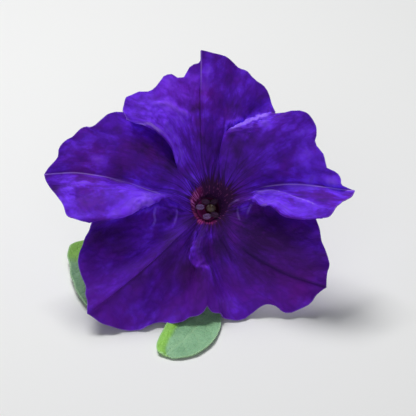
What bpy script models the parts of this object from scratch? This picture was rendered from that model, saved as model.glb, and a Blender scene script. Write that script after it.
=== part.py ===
"""A violet petunia flower, picked with the short leafy shoot that carries it, lying on a flat surface.

The flower rests on the rims of its two lower lobes, with its face turned up, and the pedicel bends down
behind it to a node of the shoot. Two leaves grow from that node: one runs forward under the flower and the
other lies at its left. The flower faces -Y and +Z, and +X is at its right as one looks into it.
"""

import math

import bmesh
import bpy
import numpy as np

MM = 0.001
CLEARANCE = 0.3  # between pieces that touch, in mm, as every length below

# How the flower lies. Its own axes are p to the right, q up across its face and w out along its axis.
FACE_ELEVATION = 34.0  # degrees that the flower's axis looks above the horizon
THROAT = (2.96, -26.95, 28.86)  # the middle of the throat, in the object's frame
FLOOR_BEND = 0.4  # how softly a petal that meets the surface turns along it

# Corolla: a funnel whose tube opens into five fused lobes.
PETAL_THICKNESS = 0.5
TUBE_PROFILE = (  # its radius and the middle (p, q, w) of each of its rings
    (2.6, 0, 0, -33),
    (2.8, -0.1, -0.2, -28),
    (3.0, -0.3, -0.6, -22),
    (3.2, -0.5, -1.0, -15),
    (3.7, -0.5, -1.1, -8),
    (5.3, -0.2, -0.3, -3),
)
LIMB_ROWS = 11
COLUMNS_PER_RIB = 3

# The corolla's ribs, clockwise round the face from the top lobe's midrib. Each has the direction in which
# it leaves the throat, in degrees, and then the points (p, q, w) that it runs through out to the rim. A
# ridge stands in front of the valley beside it, so a lobe's edge folds over its neighbour.
RIBS = (
    ("top_mid", 90, (-0.2, 12, 1), (-0.6, 24, 3.5), (-2.4, 41.6, 4)),
    ("top_right_1", 80, (2.4, 14, -0.5), (4.4, 26, 1), (6.4, 38, 1.5)),
    ("top_right_2", 70, (4.0, 14, -0.6), (8.3, 24.5, 0.6), (12.4, 32.3, 0)),
    ("top_valley", 60, (3.8, 13, -1.3), (8.6, 20.9, -0.3), (18, 25, -1.2)),
    ("right_ridge", 52, (2.8, 12, 0.1), (4.4, 19.8, 1.3), (16.9, 24.6, 1.1)),
    ("right_up_1", 42, (8.2, 10.5, 1), (15, 18.5, 3), (24.6, 25.3, 2)),
    ("right_up_2", 30, (9.5, 7, 0), (19, 12.5, 1.2), (29.2, 18.5, 1)),
    ("right_mid", 18, (9.5, 3.2, -1.5), (21, 5.2, -1.5), (39.2, 3.6, 0.5)),
    ("right_low", 6, (11, 2.2, -1.0), (21, 1.6, 0.4), (36.4, 0.9, 3.2)),
    ("right_shelf", -6, (11.5, 1.2, 0.5), (21, -3.2, 6), (30.5, -4.5, 7)),
    ("right_valley", -20, (8.6, -1.6, -3), (19, -1.6, -4.5), (29, -3, -4.5)),
    ("low_right_up", -36, (9.5, -5.5, -2), (20, -10, -2.5), (30.8, -10.5, -3)),
    ("low_right_mid", -55, (6.6, -10.5, -2.2), (19.2, -18.6, -4.4), (32, -22.7, -3.5)),
    ("low_right_1", -66, (4.6, -11.5, -2.2), (13, -21.5, -4.8), (22.5, -30, -4)),
    ("low_right_2", -78, (1.0, -12.3, -2.8), (3.6, -21, -3.6), (9.5, -32, -4.4)),
    ("low_fold", -96, (-4.8, -11.5, 2), (-1.8, -18.6, 2.6), (-1.2, -28.2, 0.5)),
    ("low_left_1", -107, (-5.6, -12, -1.8), (-6.6, -21.5, -3.2), (-11.2, -33, 0)),
    ("low_left_2", -117, (-5.8, -10.5, -1), (-13, -21.5, -2.6), (-21.6, -35.3, 0.5)),
    ("low_left_mid", -128, (-7.4, -9.6, 1.2), (-18, -18, 3), (-32.8, -30.2, 3)),
    ("low_left_up_1", -142, (-9, -7.2, -0.5), (-20.5, -12.5, -0.5), (-35, -20.5, 0)),
    ("left_valley", -160, (-8.6, -2.6, -3), (-19.5, -3.4, -4), (-32.5, -5.5, -3)),
    ("left_shelf", -173, (-12, 1.6, 0.5), (-20.5, -2, 5.5), (-33, -5.5, 6.5)),
    ("left_low", -184, (-11, 3, -0.5), (-23, 3.4, 2), (-42.4, 2.8, 2.6)),
    ("left_mid", -198, (-10, 4, -1.5), (-22, 7.2, -1.5), (-45.1, 8, 1.5)),
    ("left_up_1", -211, (-9.5, 7.5, -0.5), (-20.5, 13, 0.5), (-40, 16.6, 2)),
    ("left_up_2", -222, (-8.6, 9.5, 0), (-17, 16.5, 0.5), (-29.5, 22.6, 2)),
    ("top_left_valley", -232, (-6.3, 10.4, -3), (-10.2, 19.8, -3), (-22.6, 24.8, -1)),
    ("top_left_roll", -241, (-5.6, 9.8, 1.5), (-10.4, 19.2, 5.2), (-22.6, 23.2, 5)),
    ("top_left_1", -252, (-3.4, 12.5, 1), (-8.2, 22.6, 4), (-21.6, 29.4, 3)),
    ("top_left_2", -262, (-1.6, 13, 0.5), (-4.6, 24, 2.5), (-10.5, 35.4, 2)),
)

# Calyx and receptacle, round the foot of the tube.
RECEPTACLE_TOP = -33.5
RECEPTACLE = ((0.0, 4.3), (0.8, 4.2), (1.7, 3.3), (2.6, 1.9), (3.8, 1.25))  # depths and radii of its cup
SEPAL_LENGTH = 14.0
SEPAL_WIDTH = 3.2
SEPAL_THICKNESS = 0.6
SEPAL_SPREAD = 3.4  # how far a tip stands off the tube
SEPAL_FOOT = 0.8  # its width at the foot, as a share of its widest
SEPAL_TIP = 0.16  # and at the tip
SEPAL_POINT = 3.0  # how quickly the last third narrows to the tip
SEPAL_ROWS = 9
SEPAL_COLUMNS = 4
FIRST_SEPAL_DEG = 54.0

# Stamens and pistil. An anther's place is (p, q, w), and they crowd together at the throat's lower left.
ANTHERS = ((-2.7, -0.9, -4.0), (-0.85, -3.55, -3.6), (1.3, -3.0, -4.8), (-1.2, 0.6, -5.2), (0.9, 0.5, -7.0))
ANTHER_SIZE = (1.15, 0.95, 0.75)  # half its length, width and thickness
ANTHER_GROOVE = 0.28  # between its two pollen sacs, as a share of the thickness
FILAMENT_RADIUS = 0.3
FILAMENT_FOOT = -26.0
FILAMENT_BEND = 0.1  # how far its middle bows outwards
FILAMENT_ROWS = 9
STIGMA = (0.25, -1.25, -3.6)
STIGMA_RADIUS = 1.0
OVARY_RADIUS = 1.3
OVARY_TOP = -27.5
OVARY_SWELL = (0.8, 0.97, 1.0, 0.93, 0.75, 0.5, 0.28)  # its radius from foot to neck, as shares
STYLE_RADIUS = 0.3
STYLE_BEND = (0.4, 0.6, 0.0)
STYLE_ROWS = 10
STIGMA_FLAT = 0.25  # angle in radians at which the knob's two ends are cut flat

# The shoot. Points are (x, y, z) from the spot on the surface below the throat.
PEDICEL_RADIUS = 0.95
PEDICEL_ROWS = 20
PEDICEL_ROUTE = ((0, 36, 4.7), (-1.2, 40.8, 2.0), (-5, 44.1, 1.2), (-10.1, 43.1, 2.3))
STEM_ROUTE = (  # x, y, z and the stem's radius there
    (12, 86, 1.72, 1.7),
    (5, 74, 1.72, 1.7),
    (-3, 62, 1.72, 1.7),
    (-9.6, 51, 1.9, 1.75),
    (-14.0, 42.8, 2.7, 2.2),
    (-18, 40.5, 5.2, 1.2),
    (-23, 42, 9.5, 0.9),
    (-28, 45, 13, 0.6),
)
STEM_ROWS = 31
LEAF_THICKNESS = 0.5
STALK_LENGTH = 0.08  # as a share of the leaf's length
STALK_WIDTH = 0.13  # as a share of its widest
WIDEST = 1.15  # over 1 puts the widest place past the middle
ROUNDNESS = 0.5  # under 1 rounds both ends
TIP_CROWDING = 1.6  # sets the rows closer towards the tip
LEAF_UNDER = (
    (-12.4, 40.2, 1.4),
    (-11.2, 30, 0.9),
    (-9, 12, 0.9),
    (-5.8, -6, 0.35),
    (-3.9, -18.2, 0.3),
    (-12.2, -32.3, 0.3),
)
LEAF_UNDER_WIDTH = 17.2
LEAF_UNDER_RISE = 0.08  # how far a leaf's sides stand up, as a share of its half width
LEAF_LEFT = ((-16.8, 41.3, 1.1), (-23, 38.5, 1.5), (-28, 30, 1.8), (-29.6, 12, 0.8), (-26.5, -12.5, 0.3))
LEAF_LEFT_WIDTH = 20.0
LEAF_LEFT_RISE = 0.25
SHOOT_LEAF_RISE = 0.3
SHOOT_LEAVES = (  # each one's route and its width
    ((-21.6, 40.0, 8.6), (-25, 35, 10.5), (-30, 28, 9.5), 7.0),
    ((-23.6, 43.8, 10.4), (-25, 49.5, 12.5), (-28, 57, 11), 6.0),
    ((-28.5, 45.2, 13.4), (-32, 47, 17), (-36.5, 48.5, 20), 4.5),
)

PETAL = (0.10, 0.02, 0.34, 1)
LEAF = (0.16, 0.34, 0.14, 1)
GREEN = (0.24, 0.42, 0.16, 1)
POLLEN = (0.10, 0.07, 0.16, 1)
MAROON = (0.16, 0.01, 0.10, 1)


def spline_point(points, i, t, closed):
    """A point of the centripetal Catmull-Rom curve, a share t of the way from point i to the next one."""
    n = len(points)
    if closed:
        a, b, c, d = (points[(i + k) % n] for k in (-1, 0, 1, 2))
    else:
        b, c = points[i], points[i + 1]
        a = points[i - 1] if i > 0 else 2 * b - c
        d = points[i + 2] if i + 2 < n else 2 * c - b
    t1 = math.sqrt(np.linalg.norm(b - a)) + 1e-6
    t2 = t1 + math.sqrt(np.linalg.norm(c - b)) + 1e-6
    t3 = t2 + math.sqrt(np.linalg.norm(d - c)) + 1e-6
    s = t1 + (t2 - t1) * t
    ab = (a * (t1 - s) + b * s) / t1
    bc = (b * (t2 - s) + c * (s - t1)) / (t2 - t1)
    cd = (c * (t3 - s) + d * (s - t2)) / (t3 - t2)
    abc = (ab * (t2 - s) + bc * s) / t2
    bcd = (bc * (t3 - s) + cd * (s - t1)) / (t3 - t1)
    return (abc * (t2 - s) + bcd * (s - t1)) / (t2 - t1)


def smooth_line(points, count):
    """The smooth open curve through the points, as count points evenly spaced along it."""
    points = [np.array(point, float) for point in points]
    fine = [spline_point(points, i, k / 24, False) for i in range(len(points) - 1) for k in range(24)]
    fine = np.array(fine + [points[-1]])
    run = np.concatenate([[0], np.cumsum(np.linalg.norm(np.diff(fine, axis=0), axis=1))])
    stations = np.linspace(0, run[-1], count)
    return np.stack([np.interp(stations, run, column) for column in fine.T], axis=1)


def in_object(points):
    """Flower points (p, q, w) in the object's frame."""
    p, q, w = np.asarray(points, float).T
    tilt = math.radians(FACE_ELEVATION)
    y = q * math.sin(tilt) - w * math.cos(tilt)
    z = q * math.cos(tilt) + w * math.sin(tilt)
    return np.stack([p, y, z], axis=1) + np.array(THROAT)


def beside_flower(points):
    """Shoot points, given from the spot below the throat, in the object's frame."""
    return np.asarray(points, float) + np.array((THROAT[0], THROAT[1], 0))


def rib_line(throat_deg, limb_points):
    """One rib from the foot of the tube to the rim: the tube's rows and then the limb's."""
    turn = math.radians(throat_deg)
    out = np.array((math.cos(turn), math.sin(turn), 0))
    tube = [np.array(middle) + radius * out for radius, *middle in TUBE_PROFILE]
    limb = smooth_line([tube[-1], *limb_points], LIMB_ROWS + 1)
    return np.concatenate([tube, limb[1:]])


def corolla_grid():
    """The corolla's middle surface as rows of points, from the foot of the tube to the rim."""
    ribs = [rib_line(throat_deg, points) for name, throat_deg, *points in RIBS]
    rows = []
    for ring in np.stack(ribs, axis=1):
        rows.append(
            [
                spline_point(ring, i, k / COLUMNS_PER_RIB, True)
                for i in range(len(ring))
                for k in range(COLUMNS_PER_RIB)
            ]
        )
    return np.array(rows)


def tube_at(w):
    """The tube's radius at a height w on its axis, and its middle there."""
    rings = np.array(TUBE_PROFILE, float)
    radius, p, q = (float(np.interp(w, rings[:, 3], rings[:, column])) for column in range(3))
    return radius, np.array((p, q, w))


def bend_on_floor(points):
    """Keeps every point over the surface, so a rim that meets it turns along it."""
    points = points.copy()
    height = points[:, 2] / FLOOR_BEND
    points[:, 2] = FLOOR_BEND * (np.log1p(np.exp(-np.abs(height))) + np.maximum(height, 0))
    return points


def material(name, colour, roughness):
    made = bpy.data.materials.new(name)
    made.use_nodes = True
    shader = made.node_tree.nodes["Principled BSDF"]
    shader.inputs["Base Color"].default_value = colour
    shader.inputs["Roughness"].default_value = roughness
    shader.inputs["Metallic"].default_value = 0.0
    return made


def add_object(name, points, faces, colour, roughness=0.7):
    """An object from points in mm, with its faces turned outwards."""
    mesh = bpy.data.meshes.new(name)
    mesh.from_pydata([tuple(float(v) * MM for v in point) for point in points], [], faces)
    bm = bmesh.new()
    bm.from_mesh(mesh)
    bmesh.ops.recalc_face_normals(bm, faces=bm.faces)
    bm.to_mesh(mesh)
    bm.free()
    mesh.shade_smooth()
    mesh.materials.append(material(name, colour, roughness))
    made = bpy.data.objects.new(name, mesh)
    bpy.context.collection.objects.link(made)
    return made


def add_sweep(name, line, radii, sides, colour, roughness=0.7):
    """A solid round rod along a line, with a radius at each of its points and flat ends."""
    line = np.asarray(line, float)
    along = np.gradient(line, axis=0)
    along /= np.linalg.norm(along, axis=1)[:, None]
    side = np.cross(along[0], (0, 0, 1)) + np.array((1e-4, 0, 0))
    points = []
    for centre, ahead, radius in zip(line, along, radii, strict=True):
        side = side - ahead * np.dot(side, ahead)
        side /= np.linalg.norm(side)
        up = np.cross(side, ahead)
        for k in range(sides):
            turn = math.tau * k / sides
            points.append(centre + radius * (math.cos(turn) * side + math.sin(turn) * up))
    faces = [tuple(range(sides)), tuple((len(line) - 1) * sides + k for k in reversed(range(sides)))]
    for row in range(len(line) - 1):
        for k in range(sides):
            a, b = row * sides + k, row * sides + (k + 1) % sides
            faces.append((a, b, b + sides, a + sides))
    return add_object(name, points, faces, colour, roughness)


def add_blade(name, rows, thickness, colour, roughness=0.7):
    """A thin closed blade round a grid of points, rows along it and columns across it."""
    rows = np.asarray(rows, float)
    along = np.gradient(rows, axis=0)
    across = np.gradient(rows, axis=1)
    normal = np.cross(across, along)
    normal /= np.linalg.norm(normal, axis=2)[:, :, None]
    length, width = rows.shape[:2]
    points = np.concatenate([rows + normal * thickness / 2, rows - normal * thickness / 2])
    points = points.reshape(-1, 3)

    def at(layer, row, column):
        return (layer * length + row) * width + column

    faces = []
    for row in range(length - 1):
        for column in range(width - 1):
            corners = ((row, column), (row, column + 1), (row + 1, column + 1), (row + 1, column))
            faces.append(tuple(at(0, *corner) for corner in corners))
            faces.append(tuple(at(1, *corner) for corner in reversed(corners)))
    edge = [(row, 0) for row in range(length)]
    edge += [(length - 1, column) for column in range(1, width)]
    edge += [(row, width - 1) for row in range(length - 2, -1, -1)]
    edge += [(0, column) for column in range(width - 2, 0, -1)]
    for here, there in zip(edge, edge[1:] + edge[:1], strict=True):
        faces.append((at(0, *here), at(0, *there), at(1, *there), at(1, *here)))
    return add_object(name, points, faces, colour, roughness)


def leaf_half_width(share):
    """A leaf's half width along it, as a share of its widest: a short stalk, the blade and a round tip."""
    blade = max(0.0, (share - STALK_LENGTH) / (1 - STALK_LENGTH))
    return STALK_WIDTH + (1 - STALK_WIDTH) * math.sin(math.pi * blade**WIDEST) ** ROUNDNESS


def add_leaf(name, route, width, rise, rows=15, columns=7):
    """A leaf along its midrib's route, its two sides raised by rise, a share of their width."""
    shares = 1 - (1 - np.linspace(0, 1, rows)) ** TIP_CROWDING
    fine = smooth_line(route, 200)
    midrib = np.stack([np.interp(shares, np.linspace(0, 1, 200), column) for column in fine.T], axis=1)
    along = np.gradient(midrib, axis=0)
    grid = []
    for share, centre, ahead in zip(shares, midrib, along, strict=True):
        side = np.cross(ahead, (0, 0, 1))
        side /= np.linalg.norm(side)
        half = width / 2 * leaf_half_width(share)
        row = []
        for across in np.linspace(-1, 1, columns):
            lift = rise * half * (abs(across) - 0.35 * across * across)
            row.append(centre + side * half * across + np.array((0, 0, lift)))
        grid.append(row)
    return add_blade(name, grid, LEAF_THICKNESS, LEAF)


def add_corolla():
    grid = corolla_grid()
    rows, columns = grid.shape[:2]
    points = bend_on_floor(in_object(grid.reshape(-1, 3)))
    faces = [
        (
            row * columns + column,
            row * columns + (column + 1) % columns,
            (row + 1) * columns + (column + 1) % columns,
            (row + 1) * columns + column,
        )
        for row in range(rows - 1)
        for column in range(columns)
    ]
    corolla = add_object("corolla", points, faces, PETAL)
    wall = corolla.modifiers.new("petal_wall", "SOLIDIFY")
    wall.thickness = PETAL_THICKNESS * MM
    wall.offset = 0.0
    return corolla


def add_sepals():
    """Five narrow sepals round the foot of the tube, standing on the receptacle."""
    for number in range(5):
        turn = math.radians(FIRST_SEPAL_DEG + 72 * number)
        grid = []
        for share in np.linspace(0, 1, SEPAL_ROWS):
            w = RECEPTACLE_TOP + CLEARANCE + share * SEPAL_LENGTH
            tube, middle = tube_at(w)
            out = tube + PETAL_THICKNESS / 2 + CLEARANCE + SEPAL_THICKNESS / 2 + SEPAL_SPREAD * share**2
            swell = SEPAL_FOOT + (1 - SEPAL_FOOT) * math.sin(math.pi * share)
            half = SEPAL_WIDTH / 2 * swell * min(1.0, SEPAL_TIP + SEPAL_POINT * (1 - share))
            row = []
            for side in np.linspace(-1, 1, SEPAL_COLUMNS):
                lean = side * half / out
                row.append(middle + out * np.array((math.cos(turn + lean), math.sin(turn + lean), 0)))
            grid.append(row)
        grid = in_object(np.array(grid).reshape(-1, 3)).reshape(SEPAL_ROWS, SEPAL_COLUMNS, 3)
        add_blade(f"sepal_{number + 1}", grid, SEPAL_THICKNESS, GREEN)


def add_anther(number, place, turn):
    """Two pollen sacs side by side: an ellipsoid pinched along its middle, turned in the flower's face."""
    rings, sides = 7, 10
    long, wide, thick = ANTHER_SIZE
    points = []
    for i in range(1, rings):
        polar = math.pi * i / rings
        for k in range(sides):
            around = math.tau * k / sides
            pinch = 1 - ANTHER_GROOVE * math.cos(around) ** 8
            a = long * math.cos(polar)
            b = wide * math.sin(polar) * math.sin(around)
            c = thick * math.sin(polar) * math.cos(around) * pinch
            p = a * math.cos(turn) - b * math.sin(turn)
            q = a * math.sin(turn) + b * math.cos(turn)
            points.append((place[0] + p, place[1] + q, place[2] + c))
    faces = [tuple(range(sides)), tuple((rings - 2) * sides + k for k in reversed(range(sides)))]
    for i in range(rings - 2):
        for k in range(sides):
            a, b = i * sides + k, i * sides + (k + 1) % sides
            faces.append((a, b, b + sides, a + sides))
    add_object(f"anther_{number}", in_object(points), faces, POLLEN)


def add_stamens():
    """Five filaments seated on the tube's wall, each with its anther at the throat."""
    tube, middle = tube_at(FILAMENT_FOOT)
    reach = tube - PETAL_THICKNESS / 2 - CLEARANCE - FILAMENT_RADIUS
    for number, place in enumerate(ANTHERS, start=1):
        top = np.array(place) - np.array((0, 0, ANTHER_SIZE[2] + CLEARANCE))
        turn = math.atan2(place[1] - STIGMA[1], place[0] - STIGMA[0])
        out = np.array((math.cos(turn), math.sin(turn), 0))
        foot = middle + reach * out
        bend = (foot + top) / 2 + FILAMENT_BEND * out
        line = smooth_line([foot, bend, top], FILAMENT_ROWS)
        add_sweep(f"filament_{number}", in_object(line), [FILAMENT_RADIUS] * FILAMENT_ROWS, 6, MAROON)
        add_anther(number, place, turn)


def add_pistil():
    """Ovary on the receptacle, its style and the knob of the stigma among the anthers."""
    heights = np.linspace(RECEPTACLE_TOP + CLEARANCE, OVARY_TOP, len(OVARY_SWELL))
    ovary = np.stack([heights * 0, heights * 0, heights], axis=1)
    add_sweep("ovary", in_object(ovary), OVARY_RADIUS * np.array(OVARY_SWELL), 10, GREEN)
    top = np.array(STIGMA) - (0, 0, STIGMA_RADIUS + CLEARANCE)
    foot = np.array((0, 0, OVARY_TOP + CLEARANCE))
    line = smooth_line([foot, (foot + top) / 2 + STYLE_BEND, top], STYLE_ROWS)
    add_sweep("style", in_object(line), [STYLE_RADIUS] * STYLE_ROWS, 6, GREEN)
    polar = np.linspace(STIGMA_FLAT, math.pi - STIGMA_FLAT, 7)
    knob = np.array(STIGMA) + np.stack([polar * 0, polar * 0, -STIGMA_RADIUS * np.cos(polar)], axis=1)
    add_sweep("stigma", in_object(knob), STIGMA_RADIUS * np.sin(polar), 10, GREEN)


def add_pedicel():
    """The receptacle's cup and the flower stalk in one piece, down to the surface and along to the node."""
    cup = in_object([(0, 0, RECEPTACLE_TOP - depth) for depth, radius in RECEPTACLE])
    stalk = smooth_line([cup[-1], *beside_flower(PEDICEL_ROUTE)], PEDICEL_ROWS)
    line = np.concatenate([cup, stalk[1:]])
    radii = [radius for depth, radius in RECEPTACLE]
    radii += list(np.linspace(radii[-1], PEDICEL_RADIUS, PEDICEL_ROWS)[1:])
    add_sweep("pedicel", line, radii, 10, GREEN)


def add_stem():
    """The shoot's stem from its cut end, through the node's swelling, to its young tip."""
    route = smooth_line(STEM_ROUTE, STEM_ROWS)
    add_sweep("stem", beside_flower(route[:, :3]), route[:, 3], 12, GREEN)


def main():
    for existing in list(bpy.data.objects):
        bpy.data.objects.remove(existing, do_unlink=True)
    add_corolla()
    add_sepals()
    add_stamens()
    add_pistil()
    add_pedicel()
    add_stem()
    add_leaf("leaf_under", beside_flower(LEAF_UNDER), LEAF_UNDER_WIDTH, LEAF_UNDER_RISE)
    add_leaf("leaf_left", beside_flower(LEAF_LEFT), LEAF_LEFT_WIDTH, LEAF_LEFT_RISE)
    for number, (*route, width) in enumerate(SHOOT_LEAVES, start=1):
        name = f"shoot_leaf_{number}"
        add_leaf(name, beside_flower(route), width, SHOOT_LEAF_RISE, rows=9, columns=5)


main()
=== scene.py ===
"""Looks of a violet petunia flower, picked with the short leafy shoot that carries it.

The flower lies with its face turned up, on the rims of its two lower lobes. It faces -Y, and +X is at its
right as one looks into it. Tables give lengths in millimetres, and the finished meshes are in metres.
"""

import math

import bpy
import numpy as np
from bpy.props import FloatProperty, FloatVectorProperty, PointerProperty
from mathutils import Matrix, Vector, noise


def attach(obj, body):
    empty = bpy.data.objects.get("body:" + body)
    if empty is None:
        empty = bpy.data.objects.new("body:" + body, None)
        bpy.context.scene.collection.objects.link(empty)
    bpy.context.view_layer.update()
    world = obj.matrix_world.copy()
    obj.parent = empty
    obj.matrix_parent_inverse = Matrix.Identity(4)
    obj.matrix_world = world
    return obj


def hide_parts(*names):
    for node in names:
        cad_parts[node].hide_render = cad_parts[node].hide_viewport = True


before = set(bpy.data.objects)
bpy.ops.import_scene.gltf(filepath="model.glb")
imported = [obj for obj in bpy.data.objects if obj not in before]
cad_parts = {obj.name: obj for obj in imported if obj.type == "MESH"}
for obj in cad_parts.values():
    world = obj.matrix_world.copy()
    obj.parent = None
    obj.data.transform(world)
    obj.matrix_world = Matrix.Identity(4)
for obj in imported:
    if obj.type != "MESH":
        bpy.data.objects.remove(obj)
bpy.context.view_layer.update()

bl_info = {
    "name": "Petunia Flower",
    "version": (1, 0, 0),
    "blender": (4, 5, 0),
    "location": "3D View > Sidebar > Petunia",
    "description": "Models a violet petunia flower on its picked shoot, piece by piece",
    "category": "Add Mesh",
}

MM = 0.001

# How the flower lies. Its own axes are p to the right, q up across its face and w out along its axis.
FACE_ELEVATION = math.radians(34.0)
THROAT = (2.96, -26.95, 28.86)
FLOOR_BEND = 0.4  # how softly a rim that meets the surface turns along it
TUBE_PROFILE = (  # its radius and the middle (p, q, w) of each of its rings
    (2.6, 0, 0, -33),
    (2.8, -0.1, -0.2, -28),
    (3.0, -0.3, -0.6, -22),
    (3.2, -0.5, -1.0, -15),
    (3.4, -0.5, -1.1, -8),
    (3.8, -0.4, -1.0, -5.2),
    (5.3, -0.2, -0.3, -3),
)
TUBE_FOOT = (1.5, 0, 0, -33.3)  # the ring where the tube closes round the ovary

# The corolla's ribs, clockwise round the face from the top lobe's midrib: the direction in degrees in which
# each leaves the throat, and the points (p, q, w) that it runs through out to the rim.
RIBS = (
    ("top_mid", 90, (-1.8, 12, 1), (-2.15, 21, 3), (-2.4, 31, 3.8), (-2.4, 41.6, 4)),
    ("top_right_1", 80, (2.4, 14, -0.5), (4.4, 26, 1), (6.5, 38.4, 1.5)),
    ("top_right_2", 70, (4, 14, -0.6), (8.3, 24.5, 0.6), (12.9, 33.5, 0)),
    ("top_valley", 60, (3.8, 13, -1.3), (8.6, 20.9, -0.3), (18, 25, -1.2)),
    ("right_ridge", 52, (2.8, 12, 0.1), (4.5, 19.2, 1.3), (11, 21.8, 1.5), (16.9, 24.1, 1.1)),
    ("right_up_1", 42, (8.2, 10.5, 1), (15, 18.5, 3), (24.6, 25.3, 2)),
    ("right_up_2", 30, (9.5, 7, 0), (19, 12.5, 1.2), (29.2, 18.5, 1)),
    ("right_mid", 18, (9.5, 3.2, -1.5), (21, 5.2, -1.5), (39.7, 3.5, 0.5)),
    ("right_low", 6, (11, 2.2, -1), (21, 1.6, 0.4), (36.3, 0.9, 3.2)),
    (
        "right_shelf", -10, (11.9, 0.8, 1.8), (13.8, -0.8, 2.6), (16.8, -0.9, 4), (20.2, -3.6, 5.4),
        (25, -4.8, 6.2), (30.5, -4.6, 7),
    ),
    ("right_valley", -23, (12.6, 1.7, -2.6), (19, -0.4, -4.5), (29, -3, -4.5)),
    ("low_right_up", -36, (9.5, -5.5, -2), (20, -10, -2.5), (30.8, -10.5, -3)),
    ("low_right_mid", -55, (6.6, -10.5, -2.2), (19.2, -18.6, -4.4), (32, -23.1, -3.5)),
    ("low_right_1", -66, (4.6, -11.5, -2.2), (13, -21.5, -4.8), (22.5, -30, -4)),
    ("low_right_2", -78, (1, -12.3, -2.8), (3.6, -21, -3.6), (9.6, -31.8, -4.4)),
    ("low_fold", -96, (-3.1, -12.5, 0.2), (-1.9, -17.8, 1), (-0.8, -28.2, 0.4)),
    ("low_left_1", -107, (-5.2, -12.5, -1.2), (-6, -21.5, -3), (-11.2, -33, 0)),
    ("low_left_2", -117, (-5.8, -10.5, -1), (-13, -21.5, -2.6), (-21.6, -35.3, 0.5)),
    ("low_left_mid", -128, (-8.2, -8.9, 1.2), (-18, -18, 3), (-33.4, -30.3, 3)),
    ("low_left_up_1", -142, (-9, -7.2, -0.5), (-20.5, -12.5, -0.5), (-35.3, -19.8, 0)),
    ("left_valley", -160, (-13.3, 2.3, -2.8), (-19.5, 0.4, -4), (-32.5, -4.6, -3)),
    (
        "left_shelf", -173, (-12.6, 1.5, 1.8), (-15.2, 0.1, 3.2), (-18.3, -0.3, 4.6), (-21, -3.1, 5.4),
        (-27, -4.8, 6), (-33, -5.7, 6.5),
    ),
    ("left_low", -184, (-11.4, 2.3, -0.3), (-16, 2.2, 1.4), (-23, 3.4, 2), (-42.3, 2.4, 2.6)),
    (
        "left_mid", -198, (-9.6, 3.2, -1.5), (-15, 3.5, -1), (-21, 5.6, -1.2), (-30, 7.4, -0.4),
        (-37, 8.3, 0.5), (-45.4, 7.7, 1.5),
    ),
    ("left_up_1", -211, (-9.5, 7.5, -0.5), (-20.5, 13, 0.5), (-40.4, 16.2, 2)),
    ("left_up_2", -222, (-8.6, 9.5, 0), (-17, 16.5, 0.5), (-29.6, 22.9, 2)),
    ("top_left_valley", -232, (-6.9, 9.8, -3), (-10.6, 18.6, -3), (-22.6, 24.8, -1)),
    (
        "top_left_roll", -241, (-8.4, 8.7, 1.3), (-9.3, 11.8, 2.3), (-10.2, 14.4, 3.4), (-12.6, 17.8, 5),
        (-15.6, 20.4, 5.4), (-22.6, 23.2, 5),
    ),
    ("top_left_1", -252, (-5, 11.8, 1), (-10.2, 22.2, 4), (-21.6, 29.4, 3)),
    ("top_left_2", -262, (-3, 12.5, 0.5), (-6.2, 24, 2.5), (-10.4, 35.2, 2)),
)
RIB_NUMBER = {rib[0]: number for number, rib in enumerate(RIBS)}

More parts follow.
